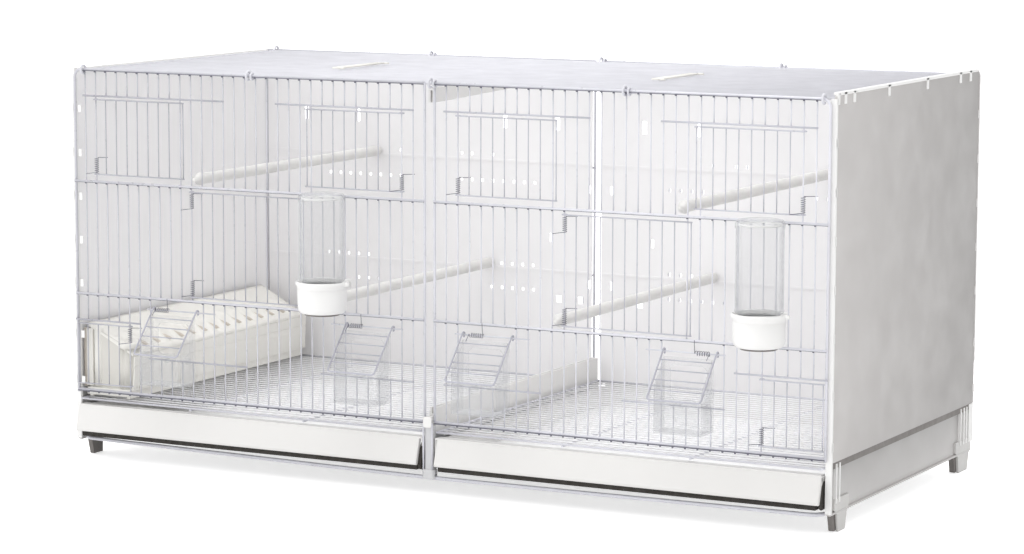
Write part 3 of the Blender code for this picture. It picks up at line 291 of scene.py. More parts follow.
COATED = (700, 0.15, 0.9, 30)
MATT = (1400, 0.12, 0.92, 30)
# Painted shade: the front and door wire coats fade darker toward the left.
LEFT_PAINTED_SHADE = {"Near": 0.45, "Far": -0.45, "Far_Shade": 0.76, "X": 1.0}
FRONT_WIRE = finish("front_wire_coating", (0.76, 0.76, 0.82), 0.3, *COATED, LEFT_PAINTED_SHADE)
DOOR_COAT = finish("door_wire_coating", (0.58, 0.58, 0.64), 0.3, *COATED, LEFT_PAINTED_SHADE)
FLAP_WIRE = finish("flap_wire_coating", (0.46, 0.46, 0.52), 0.3, *COATED)
# Painted shade: a dark colour for the dots and lines of shade under the front rails.
PAINTED_RAIL_SHADE = finish("painted_rail_shade", (0.16, 0.16, 0.2), 0.5, 700, 0.15, 0.85, 60)
ROOF_WIRE_COAT = finish("roof_wire_coating", (0.71, 0.71, 0.755), 0.7, *COATED)
# Painted light: a brighter copy of the wire coat for the floor wires, which lie in the cage's dim
# inside.
FLOOR_WIRE_LIT = finish("floor_wire_painted_light", (0.98, 0.98, 1.0), 0.35, 700, 0.15, 0.94, 30)
SPRING = finish("spring_steel", (0.15, 0.15, 0.19), 0.3, 1200, 0.05, 0.85, 60, Metallic=0.9)
WHITE = finish("white_plastic", (0.8, 0.79, 0.775), 0.42, 1400, 0.12, 0.965)
RIM = finish("rim_plastic", (0.85, 0.845, 0.835), 0.4, 1400, 0.12, 0.97)
# Painted shade: the side sheet and skirt are coloured darker than the rim and fade darker toward
# the back and toward the skirt's top.
BACK_PAINTED_SHADE = {"Far_Shade": 0.66, "Y": 1.0}
SIDE_PAINTED_SHADE = finish("side_plastic_painted_shade", (0.57, 0.55, 0.54), 0.5, 1400, 0.2, 0.95, 5, BACK_PAINTED_SHADE)
TOP_PAINTED_SHADE = {"Near": 0.024, "Far": 0.066, "Far_Shade": 0.64, "Z": 1.0}
SKIRT_PAINTED_SHADE = finish("skirt_plastic_painted_shade", (0.575, 0.56, 0.55), 0.4, 1400, 0.2, 0.95, 5, TOP_PAINTED_SHADE)
BACK = finish("back_plastic", (0.91, 0.9, 0.905), 0.45, 1400, 0.12, 0.95, 6)
TRAY = finish("tray_plastic", (0.73, 0.72, 0.705), 0.4, 1400, 0.12, 0.96)
CREAM = finish("cream_plastic", (0.87, 0.855, 0.81), 0.42, 1200, 0.12, 0.95, 14)
PERCH = finish("perch_plastic", (0.8, 0.79, 0.77), 0.55, 500, 0.35, 0.9, 25)
CLEAR = finish("clear_plastic", (0.6, 0.61, 0.63), 0.08, 300, 0.03, 0.97, 12)
# Painted shade: a dark colour for the strips and blocks of shade on the side panels and the disc
# under each drinker cup.
PAINTED_SHADE = finish("painted_shade_dark", (0.2, 0.185, 0.175), 0.6, 900, 0.1, 0.9, 20)
# Painted shadow: a near black for the shadow under the trays' fronts and on their right ends.
PAINTED_TRAY_SHADOW = finish("painted_tray_shadow", (0.03, 0.026, 0.022), 0.8, 900, 0.1, 0.8, 40)
# Painted shade: a brown for the trough's slots and the gap by the wall, and a darker cream for its
# set-back front.
PAINTED_SLOT_SHADE = finish("trough_slot", (0.66, 0.6, 0.53), 0.6, 900, 0.1, 0.9, 30)
PAINTED_RECESS_SHADE = finish("trough_recess", (0.7, 0.685, 0.64), 0.5, 1200, 0.12, 0.92, 30)
FOOT = finish("foot_plastic", (0.64, 0.63, 0.615), 0.45, *MATT)
POST = finish("post_plastic", (0.62, 0.62, 0.63), 0.45, *MATT)
# Painted light: a brighter copy of the tray plastic for the trays' insides.
TRAY_INSIDE_LIT = finish("tray_inside_painted_light", (0.97, 0.97, 0.97), 0.4, 1400, 0.12, 0.96)


def see_through(material, face_on, edge_on):
    """Lets light through: thin clear plastic shows only where it is seen edge on."""
    tree = material.node_tree
    facing = add_node(tree, "ShaderNodeLayerWeight", Blend=0.2).outputs["Facing"]
    cover = add_node(tree, "ShaderNodeMapRange", {"Value": facing}, From_Min=0.15)
    set_inputs(cover, To_Min=face_on, To_Max=edge_on)
    feed(tree, tree.nodes["Principled BSDF"], {"Alpha": cover.outputs["Result"]})


see_through(CLEAR, 0.08, 1.0)
print("materials:", len(bpy.data.materials))

# %% [markdown]
# ## Round wire
#
# A wire is a circle swept along a line of points. All wires of one grille that share
# a finish go into one mesh, because the real grille is one welded piece. The bends are
# arcs of short steps, and smooth shading hides the steps. Plans are drawn about the
# middle between the front and back wires, which lies a little behind the origin.

# %% The wire maker
WIRE_SIDES = 8
MIDDLE_Y = 0.02215


def arc(centre, radius, start, end, steps):
    """Points of an arc in a plane, angles in degrees."""
    turns = (math.radians(start + (end - start) * k / steps) for k in range(steps + 1))
    return [(centre[0] + radius * math.cos(t), centre[1] + radius * math.sin(t)) for t in turns]


def add_wire(bm, points, radius):
    """Sweeps a circle along the points and closes both ends flat."""
    points = [Vector(p) for p in points]
    angles = [2 * math.pi * j / WIRE_SIDES for j in range(WIRE_SIDES)]
    neighbours = zip(points[:1] + points, points[1:] + points[-1:])
    tangents = [(after - before).normalized() for before, after in neighbours]
    normal = tangents[0].orthogonal().normalized()
    rings = []
    for k, (point, tangent) in enumerate(zip(points, tangents)):
        if k:
            normal = tangents[k - 1].rotation_difference(tangent) @ normal
        side = tangent.cross(normal)
        spokes = [normal * math.cos(angle) + side * math.sin(angle) for angle in angles]
        rings.append([bm.verts.new(point + spoke * radius) for spoke in spokes])
    for first, second in zip(rings, rings[1:]):
        for j in range(WIRE_SIDES):
            k = (j + 1) % WIRE_SIDES
            bm.faces.new((first[j], first[k], second[k], second[j])).smooth = True
    bm.faces.new(rings[0][::-1])
    bm.faces.new(rings[-1])


def piece(name, bm, material, *nodes, slot="white_plastic", body="cage"):
    """Turns a bmesh into a named piece, on a body when one is named, in place of CAD nodes."""
    bmesh.ops.translate(bm, vec=(0, MIDDLE_Y, 0), verts=bm.verts)
    mesh = bpy.data.meshes.new(name)
    bm.to_mesh(mesh)
    bm.free()
    mesh.materials.append(material)
    obj = bpy.data.objects.new(name, mesh)
    scene.collection.objects.link(obj)
    if isinstance(body, str):
        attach(obj, body)
    else:
        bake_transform(obj)
    if nodes:
        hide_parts(*nodes)


def wires(name, runs, material, *nodes, slot="white_wire", body="cage"):
    """One piece made of many wires: each run is its points and its radius."""
    bm = bmesh.new()
    for points, radius in runs:
        add_wire(bm, points, radius)
    piece(name, bm, material, *nodes, slot=slot, body=body)


def line_x(low, high, y, z, radius):
    """A straight run along X."""
    return ((low, y, z), (high, y, z)), radius


def line_y(x, low, high, z, radius):
    """A straight run along Y."""
    return ((x, low, z), (x, high, z)), radius


def line_z(x, y, low, high, radius):
    """A straight run along Z."""
    return ((x, y, low), (x, y, high)), radius


print("a wire has", WIRE_SIDES, "sides")

# %% [markdown]
# ## The cage's plan
#
# Everything on the front is placed by counting wires, as a maker would: the halves
# have uprights at one pitch, a door swings on one wire and closes on another, and a
# flap hangs from a short wire over four cut uprights.

# %% Driving sizes
PITCH = 0.0137
CENTRE_GAP = 0.0118
FRONT_Y = -0.2
BACK_Y = 0.2
TOP_Z = 0.4315
DOOR_BAR_Z = 0.403
MID_Z = 0.3092
LOW_Z = 0.1848
FLAP_Z = 0.1725
TROUGH_BAR_Z = 0.1555
CUP_Z = 0.118
BOTTOM_Z = 0.0772
RAIL = 0.0015
CROSS_RAIL = 0.0013
BAR = 0.001
WIRE = 0.0008
DOOR_WIRE = 0.00075
RAIL_Y = FRONT_Y - 0.0025
BAR_Y = RAIL_Y + 0.0003
DOOR_Y = FRONT_Y - 0.0025
FLAP_Y = FRONT_Y - 0.0016
LAP = 0.0008
OVERHANG = 0.0018
EYE = 0.0025
CORNER = 0.0085
SIDES = {"left": -1, "right": 1}
FIRST = {"left": -CENTRE_GAP / 2 - 31 * PITCH, "right": CENTRE_GAP / 2}
ENDS = {"left": (-1, 31), "right": (0, 32)}


def wire_x(side, index):
    """The X of an upright, counted in its half."""
    return FIRST[side] + index * PITCH


# name, side, hinge wire, closing place, low, high, spring places
DOORS = (
    ("upper_door_1", "left", 1, 9.32, 0.3172, 0.399, ("low",)),
    ("upper_door_2", "left", 29, 20.68, 0.3172, 0.399, ("low",)),
    ("main_door_left", "left", 10, 20.32, 0.1893, 0.3035, ("low", "high")),
    ("trough_door_left", "left", 4, -0.8, 0.0847, 0.1513, ("high",)),
    ("upper_door_3", "right", 2, 10.32, 0.3172, 0.399, ("low",)),
    ("upper_door_4", "right", 30, 21.68, 0.3172, 0.399, ("low",)),
    ("main_door_right", "right", 11, 21.32, 0.1893, 0.3035, ("low", "high")),
    ("trough_door_right", "right", 27, 31.8, 0.0847, 0.1513, ("low",)),
)
# side, hinge wire from and to, first and last cut upright, cup rail, arms, coil, all
# counted in uprights
FLAPS = (
    ("left", (6, 12), (7, 10), (6, 15), (6.43, 10.49), 6.65),
    ("left", (23, 29), (25, 28), (22, 30), (24.2, 28.28), 24.42),
    ("right", (2, 8), (3, 6), (1, 9), (2.54, 6.72), 3.1),
    ("right", (18, 24), (20, 23), (16, 24), (19.25, 23.52), 22.95),
)
OPENINGS = {
    "upper": (MID_Z, DOOR_BAR_Z),
    "main": (LOW_Z, MID_Z),
    "trough": (BOTTOM_Z, TROUGH_BAR_Z),
}
BARS = {"left": ((0, 13), (18, 30), (-1, 5)), "right": ((1, 13), (19, 31), (25, 32))}
print("doors:", len(DOORS), "flaps:", len(FLAPS))

# %% [markdown]
# ## Front grilles
#
# The uprights run behind the rails. An upright that a door or flap interrupts ends on the rail
# above and starts again on the rail below. The top rail bends down into the outer upright in one
# rounded corner. The short bars by the doors have the doors' darker coat, so they are a piece of
# their own. So is the painted shade under the rails: a dark dot at each upright and a thin dark
# line along each rail.

# %% Front grilles
def cuts_of(side):
    """For each interrupted upright, its missing stretches."""
    cuts = {}
    for name, half, hinge, close, *_ in DOORS:
        if half == side:
            stop = round(close)
            for index in range(min(hinge, stop) + 1, max(hinge, stop)):
                cuts.setdefault(index, []).append(OPENINGS[name.split("_")[0]])
    for half, _, cut, *_ in FLAPS:
        if half == side:
            for index in range(cut[0], cut[1] + 1):
                cuts.setdefault(index, []).append((CUP_Z, LOW_Z))
    return cuts


def rail_shade_runs(side):
    """Painted shade under each rail: a dark dot at each upright and a thin dark line along the
    rail.
    """
    first, last = ENDS[side]
    cuts = cuts_of(side)
    runs = []
    for z, size in ((MID_Z, CROSS_RAIL), (LOW_Z, CROSS_RAIL), (TOP_Z, RAIL), (BOTTOM_Z, RAIL)):
        for index in range(first + 1, last):
            gaps = cuts.get(index, [])
            if any(low < z - 0.004 < high for low, high in gaps) and z in (MID_Z, LOW_Z):
                continue
            top = z - size * 0.75
            shade_dot = line_z(wire_x(side, index), RAIL_Y + 0.0009, top, top - 0.0017, 0.0011)
            runs.append(shade_dot)
        inset = CORNER if z == TOP_Z else 0.0
        start = wire_x(side, first) + (inset if side == "left" else 0.0)
        stop = wire_x(side, last) - (inset if side == "right" else 0.0)
        radius = 0.0004 if z == TOP_Z else 0.0006
        runs.append(line_x(start, stop, RAIL_Y + 0.0002, z - size * 0.85, radius))
    return runs


def front_runs(side):
    """The wires of one half of the front, and apart from them its short cross bars."""
    first, last = ENDS[side]
    cuts = cuts_of(side)
    outer = first if side == "left" else last
    runs = []
    for index in range(first, last + 1):
        if index == outer:
            continue
        edges = [BOTTOM_Z]
        for low, high in sorted(cuts.get(index, [])):
            edges += [low, high]
        edges.append(TOP_Z)
        x = wire_x(side, index)
        radius = RAIL if index in (0, 31) and index in (first, last) else WIRE
        for low, high in zip(edges[::2], edges[1::2]):
            if high - low > PITCH:
                low -= LAP if low > BOTTOM_Z else 0.0
                high += LAP if high < TOP_Z else 0.0
                runs.append(line_z(x, FRONT_Y, low, high, radius))
    way = SIDES[side]
    x0, x1 = wire_x(side, outer), wire_x(side, last if outer == first else first)
    bend = arc((0, 0), CORNER, 0, 90, 6)
    frame_wire = [(x0, FRONT_Y, BOTTOM_Z - 0.003)]
    frame_wire += [(x0 - way * (CORNER - a), FRONT_Y, TOP_Z - CORNER + b) for a, b in bend]
    frame_wire += [(x1, FRONT_Y, TOP_Z)]
    runs.append((frame_wire, RAIL))
    runs.append(line_x(x0, x1, FRONT_Y, BOTTOM_Z, RAIL))
    for z in (MID_Z, LOW_Z):
        runs.append(line_x(x0, x1, RAIL_Y, z, CROSS_RAIL))
    spans = [(*span, z) for span, z in zip(BARS[side], (DOOR_BAR_Z, DOOR_BAR_Z, TROUGH_BAR_Z))]
    for half, hinge, _, rail, *_ in FLAPS:
        if half == side:
            spans.append((*rail, CUP_Z))
            a, b = wire_x(side, hinge[0]) - 0.003, wire_x(side, hinge[1]) + 0.002
            runs.append(line_x(a, b, FLAP_Y, FLAP_Z, WIRE))
    bars = []
    for a, b, z in spans:
        a, b = wire_x(side, a) - OVERHANG, wire_x(side, b) + OVERHANG
        bars.append(line_x(a, b, BAR_Y, z, BAR))
    return runs, bars


for side in SIDES:
    runs, bars = front_runs(side)
    name = f"front_grille_{side}"
    wires(f"{name}_wires", runs, FRONT_WIRE, name)
    wires(f"{name}_bars", bars, DOOR_COAT)
    # The painted shade under the rails: dark dots at the uprights and thin dark lines.
    wires(f"{name}_rail_shades", rail_shade_runs(side), PAINTED_RAIL_SHADE)
    print(name, len(runs), "wires")

# %% [markdown]
# ## Doors
#
# Each door is a few uprights between two cross wires, whose ends are curled into eyes
# around the hinge wire. The free edge overlaps the upright that the door closes on.

# %% Doors
def door_runs(side, hinge, close, low, high):
    """The wires of a door that lies in front of its opening."""
    way = 1 if close > hinge else -1
    hinge_x, edge_x = wire_x(side, hinge), wire_x(side, close)
    runs = []
    for z in (low, high):
        path = [(edge_x + way * OVERHANG, DOOR_Y, z)]
        path += [(hinge_x + way * a, FRONT_Y + b, z) for a, b in arc((0, 0), EYE, -90, -370, 14)]
        runs.append((path, DOOR_WIRE))
    count = int(abs(close - hinge))
    places = [hinge_x + way * k * PITCH for k in range(1, count)] + [edge_x]
    if abs(close - hinge) - count > 0.5:
        places.insert(-1, hinge_x + way * count * PITCH)
    for x in places:
        runs.append(line_z(x, DOOR_Y + 0.0012, low, high, DOOR_WIRE * 0.85))
    return runs


for name, *door, _ in DOORS:
    runs = door_runs(*door)
    wires(f"{name}_wires", runs, DOOR_COAT, name, body=name)
    print(name, len(runs), "wires")

# %% [markdown]
# ## Springs
#
# A small torsion spring sits on each hinge wire and pushes its door shut. One leg lies on the door
# and the other behind the next fixed upright. Its coil is a helix, so a formula gives its points.

# %% Springs
SPRING_WIRE = 0.00032
SPRING_RADIUS = 0.0022
SPRING_LENGTH = 0.016
DOOR_TURNS = 7.5
FLAP_TURNS = 6
COIL_STEPS = 14
EYE_GAP = 0.0019
HOLD = 0.006


def coil(centre, along, first, second, start, sweep, leg_in, leg_out):
    """A helix about an axis, with a straight leg at each end."""
    centre, along, first, second = (Vector(v) for v in (centre, along, first, second))
    steps = int(abs(sweep) / 360 * COIL_STEPS)
    points = []
    for k in range(steps + 1):
        angle = math.radians(start + sweep * k / steps)
        spoke = first * math.cos(angle) + second * math.sin(angle)
        points.append(centre + along * (SPRING_LENGTH * k / steps) + spoke * SPRING_RADIUS)
    return [points[0] + Vector(leg_in)] + points + [points[-1] + Vector(leg_out)]


def add_spring(name, node, body, middle, step, points):
    """A coil in place of a spring node, left unattached where it is drawn."""
    middle = Vector(middle) + Vector((0, MIDDLE_Y, 0))
    hold = ("cage", body, middle - Vector(step), middle + Vector(step))
    wires(name, [(points, SPRING_WIRE)], SPRING, node, slot="spring_steel", body=hold)


for name, side, hinge, close, low, high, places in DOORS:
    way = 1 if close > hinge else -1
    hinge_x = wire_x(side, hinge)
    for place in places:
        z = low + EYE_GAP if place == "low" else high - EYE_GAP - SPRING_LENGTH
        middle = (hinge_x, FRONT_Y, z)
        axes = (0, 0, 1), (1, 0, 0), (0, 1, 0)
        leg_in = (-0.0125, -0.002 if way < 0 else -0.0002, -0.002)
        leg_out = (0.0145, -0.002 if way > 0 else -0.0002, 0.0008)
        points = coil(middle, *axes, -90, 360 * DOOR_TURNS, leg_in, leg_out)
        label = f"{name}_spring_{place}"
        add_spring(f"{label}_coil", label, name, middle, (way * HOLD, 0, 0), points)
print("door springs:", sum(len(door[-1]) for door in DOORS))

# %% [markdown]
# ## Feeder flaps
#
# A flap is one wire bent to a U with rungs across it. It hangs from the short hinge
# wire and leans out on the lip of the feeder cup, so a hand can lift it to reach in.

# %% Flaps and their springs
LEAN = math.radians(41)
FLAP_LENGTH = 0.0597
FLAP_CORNER = 0.0034
FLAP_EDGE = 0.00095
RUNGS = 4
DOWN = Vector((0, -math.sin(LEAN), -math.cos(LEAN)))
OUT = Vector((0, -math.cos(LEAN), math.sin(LEAN)))


def on_flap(x, down, out):
    """A point of a flap, by its distances down the flap and out from it."""
    return Vector((x, FLAP_Y, FLAP_Z)) + DOWN * down + OUT * out


def flap_runs(side, arms):
    """The bent wire of a flap and its rungs."""
    left, right = wire_x(side, arms[0]), wire_x(side, arms[1])
    turns = arc((0, 0), EYE, -60, -270, 12)
    straight = FLAP_LENGTH - FLAP_CORNER
    path = [on_flap(left, a, b) for a, b in turns]
    bend = arc((0, 0), FLAP_CORNER, 180, 270, 6)
    path += [on_flap(left + FLAP_CORNER + a, straight - b, EYE) for a, b in bend]
    path += [on_flap(right - FLAP_CORNER - a, straight - b, EYE) for a, b in reversed(bend)]
    path += [on_flap(right, a, b) for a, b in reversed(turns)]
    runs = [(path, FLAP_EDGE)]
    for k in range(1, RUNGS + 1):
        down = FLAP_LENGTH * k / (RUNGS + 1)
        runs.append(((on_flap(left, down, EYE), on_flap(right, down, EYE)), DOOR_WIRE * 0.8))
    return runs


for number, (side, _, _, _, arms, coil_at) in enumerate(FLAPS, 1):
    name = f"feeder_flap_{number}"
    wires(f"{name}_wires", flap_runs(side, arms), FLAP_WIRE, name, body=name)
    way = -1 if number == 4 else 1
    start = 180 - math.degrees(LEAN)
    middle = (wire_x(side, coil_at), FLAP_Y, FLAP_Z)
    axes = (way, 0, 0), (0, 1, 0), (0, 0, 1)
    legs = DOWN * 0.01 + OUT * 0.0012, (0, -0.0014, 0.0135)
    points = coil(middle, *axes, start, 360 * FLAP_TURNS + 180 - start, *legs)
    add_spring(f"{name}_coil", f"{name}_spring", name, middle, (0, 0, -HOLD), points)
print("flaps:", len(FLAPS), "rungs each:", RUNGS)

# %% [markdown]
# ## Back, roof and floor wires
#
# The back is a plain grille with its two middle rails outside. On the roof the long
# wires run from side to side, and five cross wires lie under them and hook round the
# top rails. Two narrow ladders of cream wire lie on them as carry handles that fold
# flat. The floor grilles are closer wires with a frame, and pull out to the front.

# %% Back grilles
for side in SIDES:
    first, last = ENDS[side]
    x0, x1 = wire_x(side, first), wire_x(side, last)
    runs = []
    for index in range(first, last + 1):
        size = RAIL if index in (first, last) else WIRE
        runs.append(line_z(wire_x(side, index), BACK_Y, BOTTOM_Z, TOP_Z, size))
    for z in (TOP_Z, BOTTOM_Z):
        runs.append(line_x(x0 - 0.001, x1 + 0.001, BACK_Y, z, RAIL))
    for z in (MID_Z, LOW_Z):
        runs.append(line_x(x0, x1, BACK_Y + 0.0025, z, CROSS_RAIL))
    name = f"back_grille_{side}"
    wires(f"{name}_wires", runs, FRONT_WIRE, name)
    print(name, len(runs), "wires")

# %% Roof grille
ROOF_Z = TOP_Z - 0.001
ROOF_CROSS_X = (-0.4329, -0.2205, 0.001, 0.2231, 0.4375)
ROOF_ENDS = (ROOF_CROSS_X[0], ROOF_CROSS_X[-1])
ROOF_HOOK = 0.0044
ROOF_HALF = 14

runs = []
for k in range(-ROOF_HALF, ROOF_HALF + 1):
    size = CROSS_RAIL if abs(k) == ROOF_HALF else WIRE
    runs.append(line_x(*ROOF_ENDS, k * PITCH, ROOF_Z, size))
for x in ROOF_CROSS_X:
    drop = 0.0 if x in ROOF_ENDS else 0.0021
    hook = [(x, FRONT_Y + a, TOP_Z + b) for a, b in arc((0, 0), ROOF_HOOK, 60, 290, 12)]
    hook.reverse()
    hook.append((x, FRONT_Y + 0.0062, ROOF_Z - drop))
    back = [(x, -y, z) for x, y, z in reversed(hook)]
    runs.append((hook + back, 0.0014))
    if x in ROOF_ENDS:
        continue
    for way in SIDES.values():
        ring = arc((way * FRONT_Y, TOP_Z - 0.0006), 0.0036, 0, 350, 12)
        runs.append(([(x + 0.0052, a, b) for a, b in ring], 0.0011))
wires("roof_grille_wires", runs, ROOF_WIRE_COAT, "roof_grille", slot="floor_wire")
print("roof wires:", len(runs))

# %% Carry handles
HANDLE_X = (-0.177, 0.202)
HANDLE_WIRES = ((-8, 2), (-7, 3))
HANDLE_Z = ROOF_Z + 0.003
HANDLE_HALF = 0.0038
HANDLE_WIRE = 0.001
HANDLE_RUNGS = 12

for side, x, ends in zip(SIDES, HANDLE_X, HANDLE_WIRES):
    low, high = ends[0] * PITCH + 0.037, ends[1] * PITCH - 0.0026
    middle = x - 0.011
    near, far = middle - HANDLE_HALF, middle + HANDLE_HALF
    runs = [line_y(edge, low, high, HANDLE_Z, HANDLE_WIRE) for edge in (near, far)]
    for k in range(HANDLE_RUNGS + 1):
        y = low + (high - low) * k / HANDLE_RUNGS
        runs.append(line_x(near, far, y, HANDLE_Z, WIRE))
    for y in (low, high):
        runs.append(line_x(far, x, y, HANDLE_Z, HANDLE_WIRE))
    name = f"carry_handle_{side}"
    wires(f"{name}_strip", runs, CREAM, name, slot="cream_plastic", body=name)
print("handles:", len(HANDLE_X))

# %% Floor grilles
FLOOR_Z = 0.0665
FLOOR_PITCH = 0.0119
FLOOR_COUNT = 33
FLOOR_FRONT = -0.199
FLOOR_X = (0.0087, 0.4408)
FLOOR_CROSS_X = (0.1548, 0.2985)
FLOOR_FRAME = 0.0012

for side, way in SIDES.items():
    low, high = sorted(way * x for x in FLOOR_X)
    back = FLOOR_FRONT + (FLOOR_COUNT - 1) * FLOOR_PITCH
    runs = []
    for k in range(1, FLOOR_COUNT - 1):
        runs.append(line_x(low, high, FLOOR_FRONT + k * FLOOR_PITCH, FLOOR_Z, WIRE))
    name = f"floor_grille_{side}"
    # Painted light: the floor wires get a brighter coat than the frame.
    wires(f"{name}_wires", runs, FLOOR_WIRE_LIT, name, slot="floor_wire", body=name)
    runs = [line_x(low, high, y, FLOOR_Z, FLOOR_FRAME) for y in (FLOOR_FRONT, back)]
    places = [(x, FLOOR_Z) for x in (low, high)]
    places += [(way * x, FLOOR_Z - 0.002) for x in FLOOR_CROSS_X]
    for x, z in places:
        runs.append(line_y(x, FLOOR_FRONT - 0.001, back + 0.001, z, FLOOR_FRAME))
    wires(f"{name}_frame", runs, FRONT_WIRE, slot="floor_wire", body=name)
    print(name, len(runs), "wires")

# %% [markdown]
# ## Makers for moulded parts
#
# Moulded parts come from three shapes: a box with softened edges, an outline pulled
# along one axis, and a profile turned about an axis. A part is several of them in one
# mesh, since a mould makes them in one shot.

# %% Moulded shapes
SOFT = 0.0006


def soften(bm, before, size):
    """Bevels the sharp edges of what was added after the given count of edges."""
    bm.edges.ensure_lookup_table()
    edges = [edge for edge in bm.edges[before:] if edge.calc_face_angle(0) > 0.5]
    bmesh.ops.bevel(
        bm, geom=edges, offset=size, segments=2, affect="EDGES", profile=0.5, clamp_overlap=True
    )


def add_box(bm, low, high, soft=SOFT):
    """A box between two corners, its edges softened."""
    low, high = zip(*(sorted(pair) for pair in zip(low, high)))
    size = [b - a for a, b in zip(low, high)]
    middle = [(a + b) / 2 for a, b in zip(low, high)]
    before = len(bm.edges)
    place = Matrix.Translation(middle) @ Matrix.Diagonal((*size, 1))
    bmesh.ops.create_cube(bm, size=1.0, matrix=place)
    if soft:
        soften(bm, before, min(soft, min(size) * 0.3))


def add_prism(bm, outline, axis, low, high, soft=SOFT):
    """An outline in the plane across an axis, pulled along it and softened."""
    others = [k for k in range(3) if k != axis]
    before = len(bm.edges)
    rings = []
    for level in (low, high):
        ring = []
        for a, b in outline:
            point = [0.0, 0.0, 0.0]
            point[axis], point[others[0]], point[others[1]] = level, a, b
            ring.append(bm.verts.new(point))
        rings.append(ring)
    near, far = rings
    after = zip(near, near[1:] + near[:1], far[1:] + far[:1], far)
    faces = [bm.faces.new(corners) for corners in after]
    faces += [bm.faces.new(near[::-1]), bm.faces.new(far)]
    bmesh.ops.recalc_face_normals(bm, faces=faces)
    if soft:
        soften(bm, before, soft)


def add_turned(bm, centre, axis, profile, sides=32, ripple=None):
    """A closed profile of (radius, distance along the axis), turned about that axis."""
    ahead = Vector([float(k == axis) for k in range(3)])
    first = Vector((0, 1, 0)) if axis == 0 else Vector((1, 0, 0))
    second = ahead.cross(first)
    centre = Vector(centre)
    rings = []
    for radius, along in profile:
        if radius < 1e-7:
            rings.append([bm.verts.new(centre + ahead * along)])
            continue
        ring = []
        for k in range(sides):
            angle = 2 * math.pi * k / sides
            reach = radius * (1.0 + (ripple(angle, along) if ripple else 0.0))
            spoke = first * math.cos(angle) + second * math.sin(angle)
            ring.append(bm.verts.new(centre + ahead * along + spoke * reach))
        rings.append(ring)
    faces = []
    for one, two in zip(rings, rings[1:]):
        for j in range(sides):
            k = (j + 1) % sides
            corners = [one[j % len(one)], one[k % len(one)], two[k % len(two)], two[j % len(two)]]
            corners = list(dict.fromkeys(corners))
            if len(corners) > 2:
                faces.append(bm.faces.new(corners))
    for face in faces:
        face.smooth = True
    bmesh.ops.recalc_face_normals(bm, faces=faces)


print("soft edge:", SOFT * 1000, "mm")

# %% [markdown]
# ## Side panels
#
# Each side is one moulded sheet with a rim. Small tabs on the rim hold the roof and the wires, a
# recessed skirt stands under a ledge, and two ribbed feet carry it. The sheet and the skirt are
# coloured darker than the rim and fade darker toward the back and toward the skirt's top, as
# painted shade.
# Everything is a flat sheet or a small block, so boxes and prisms are enough. The sheet
# is drawn a little thinner than the model's, so the rim stands proud of it. The two
# panels differ in their top corners, as the photographed pair does.

# %% Side panels
PANEL_X = 0.45
PANEL_FRONT = -0.1978
PANEL_BACK = 0.2165
EDGE = 0.001
RIM_X = (0.4436, PANEL_X)
CLIP_X = (0.4484, PANEL_X)
INNER_CLIP_X = (0.4346, 0.4384)
CLIP_HALF = 0.0045
TAB_HALF = 0.003
SKIRT_TOP = 0.072
TAB_Y = (-0.1925, -0.1745, -0.1508, -0.0571, 0.0531, 0.1533, 0.1846)
CLIP_Z = (0.3885, 0.34, 0.292, 0.244, 0.196, 0.139, 0.088)
# radius of the top corners, height of the top
PANELS = {"left": (0.011, 0.4325), "right": (0.006, 0.4375)}
# front, back, places of the ribs
FEET = ((-0.181, -0.147, (-0.183, -0.1745)), (0.1675, 0.21, (0.1765, 0.186, 0.194)))


def side_box(bm, way, x, y, z, soft=SOFT):
    """A box of a panel, given by its ranges, with X counted outward."""
    low, high = ((way * a, b, c) for a, b, c in zip(x, y, z))
    add_box(bm, low, high, soft)


def around(place, half):
    """The range with this middle and half width."""
    return place - half, place + half


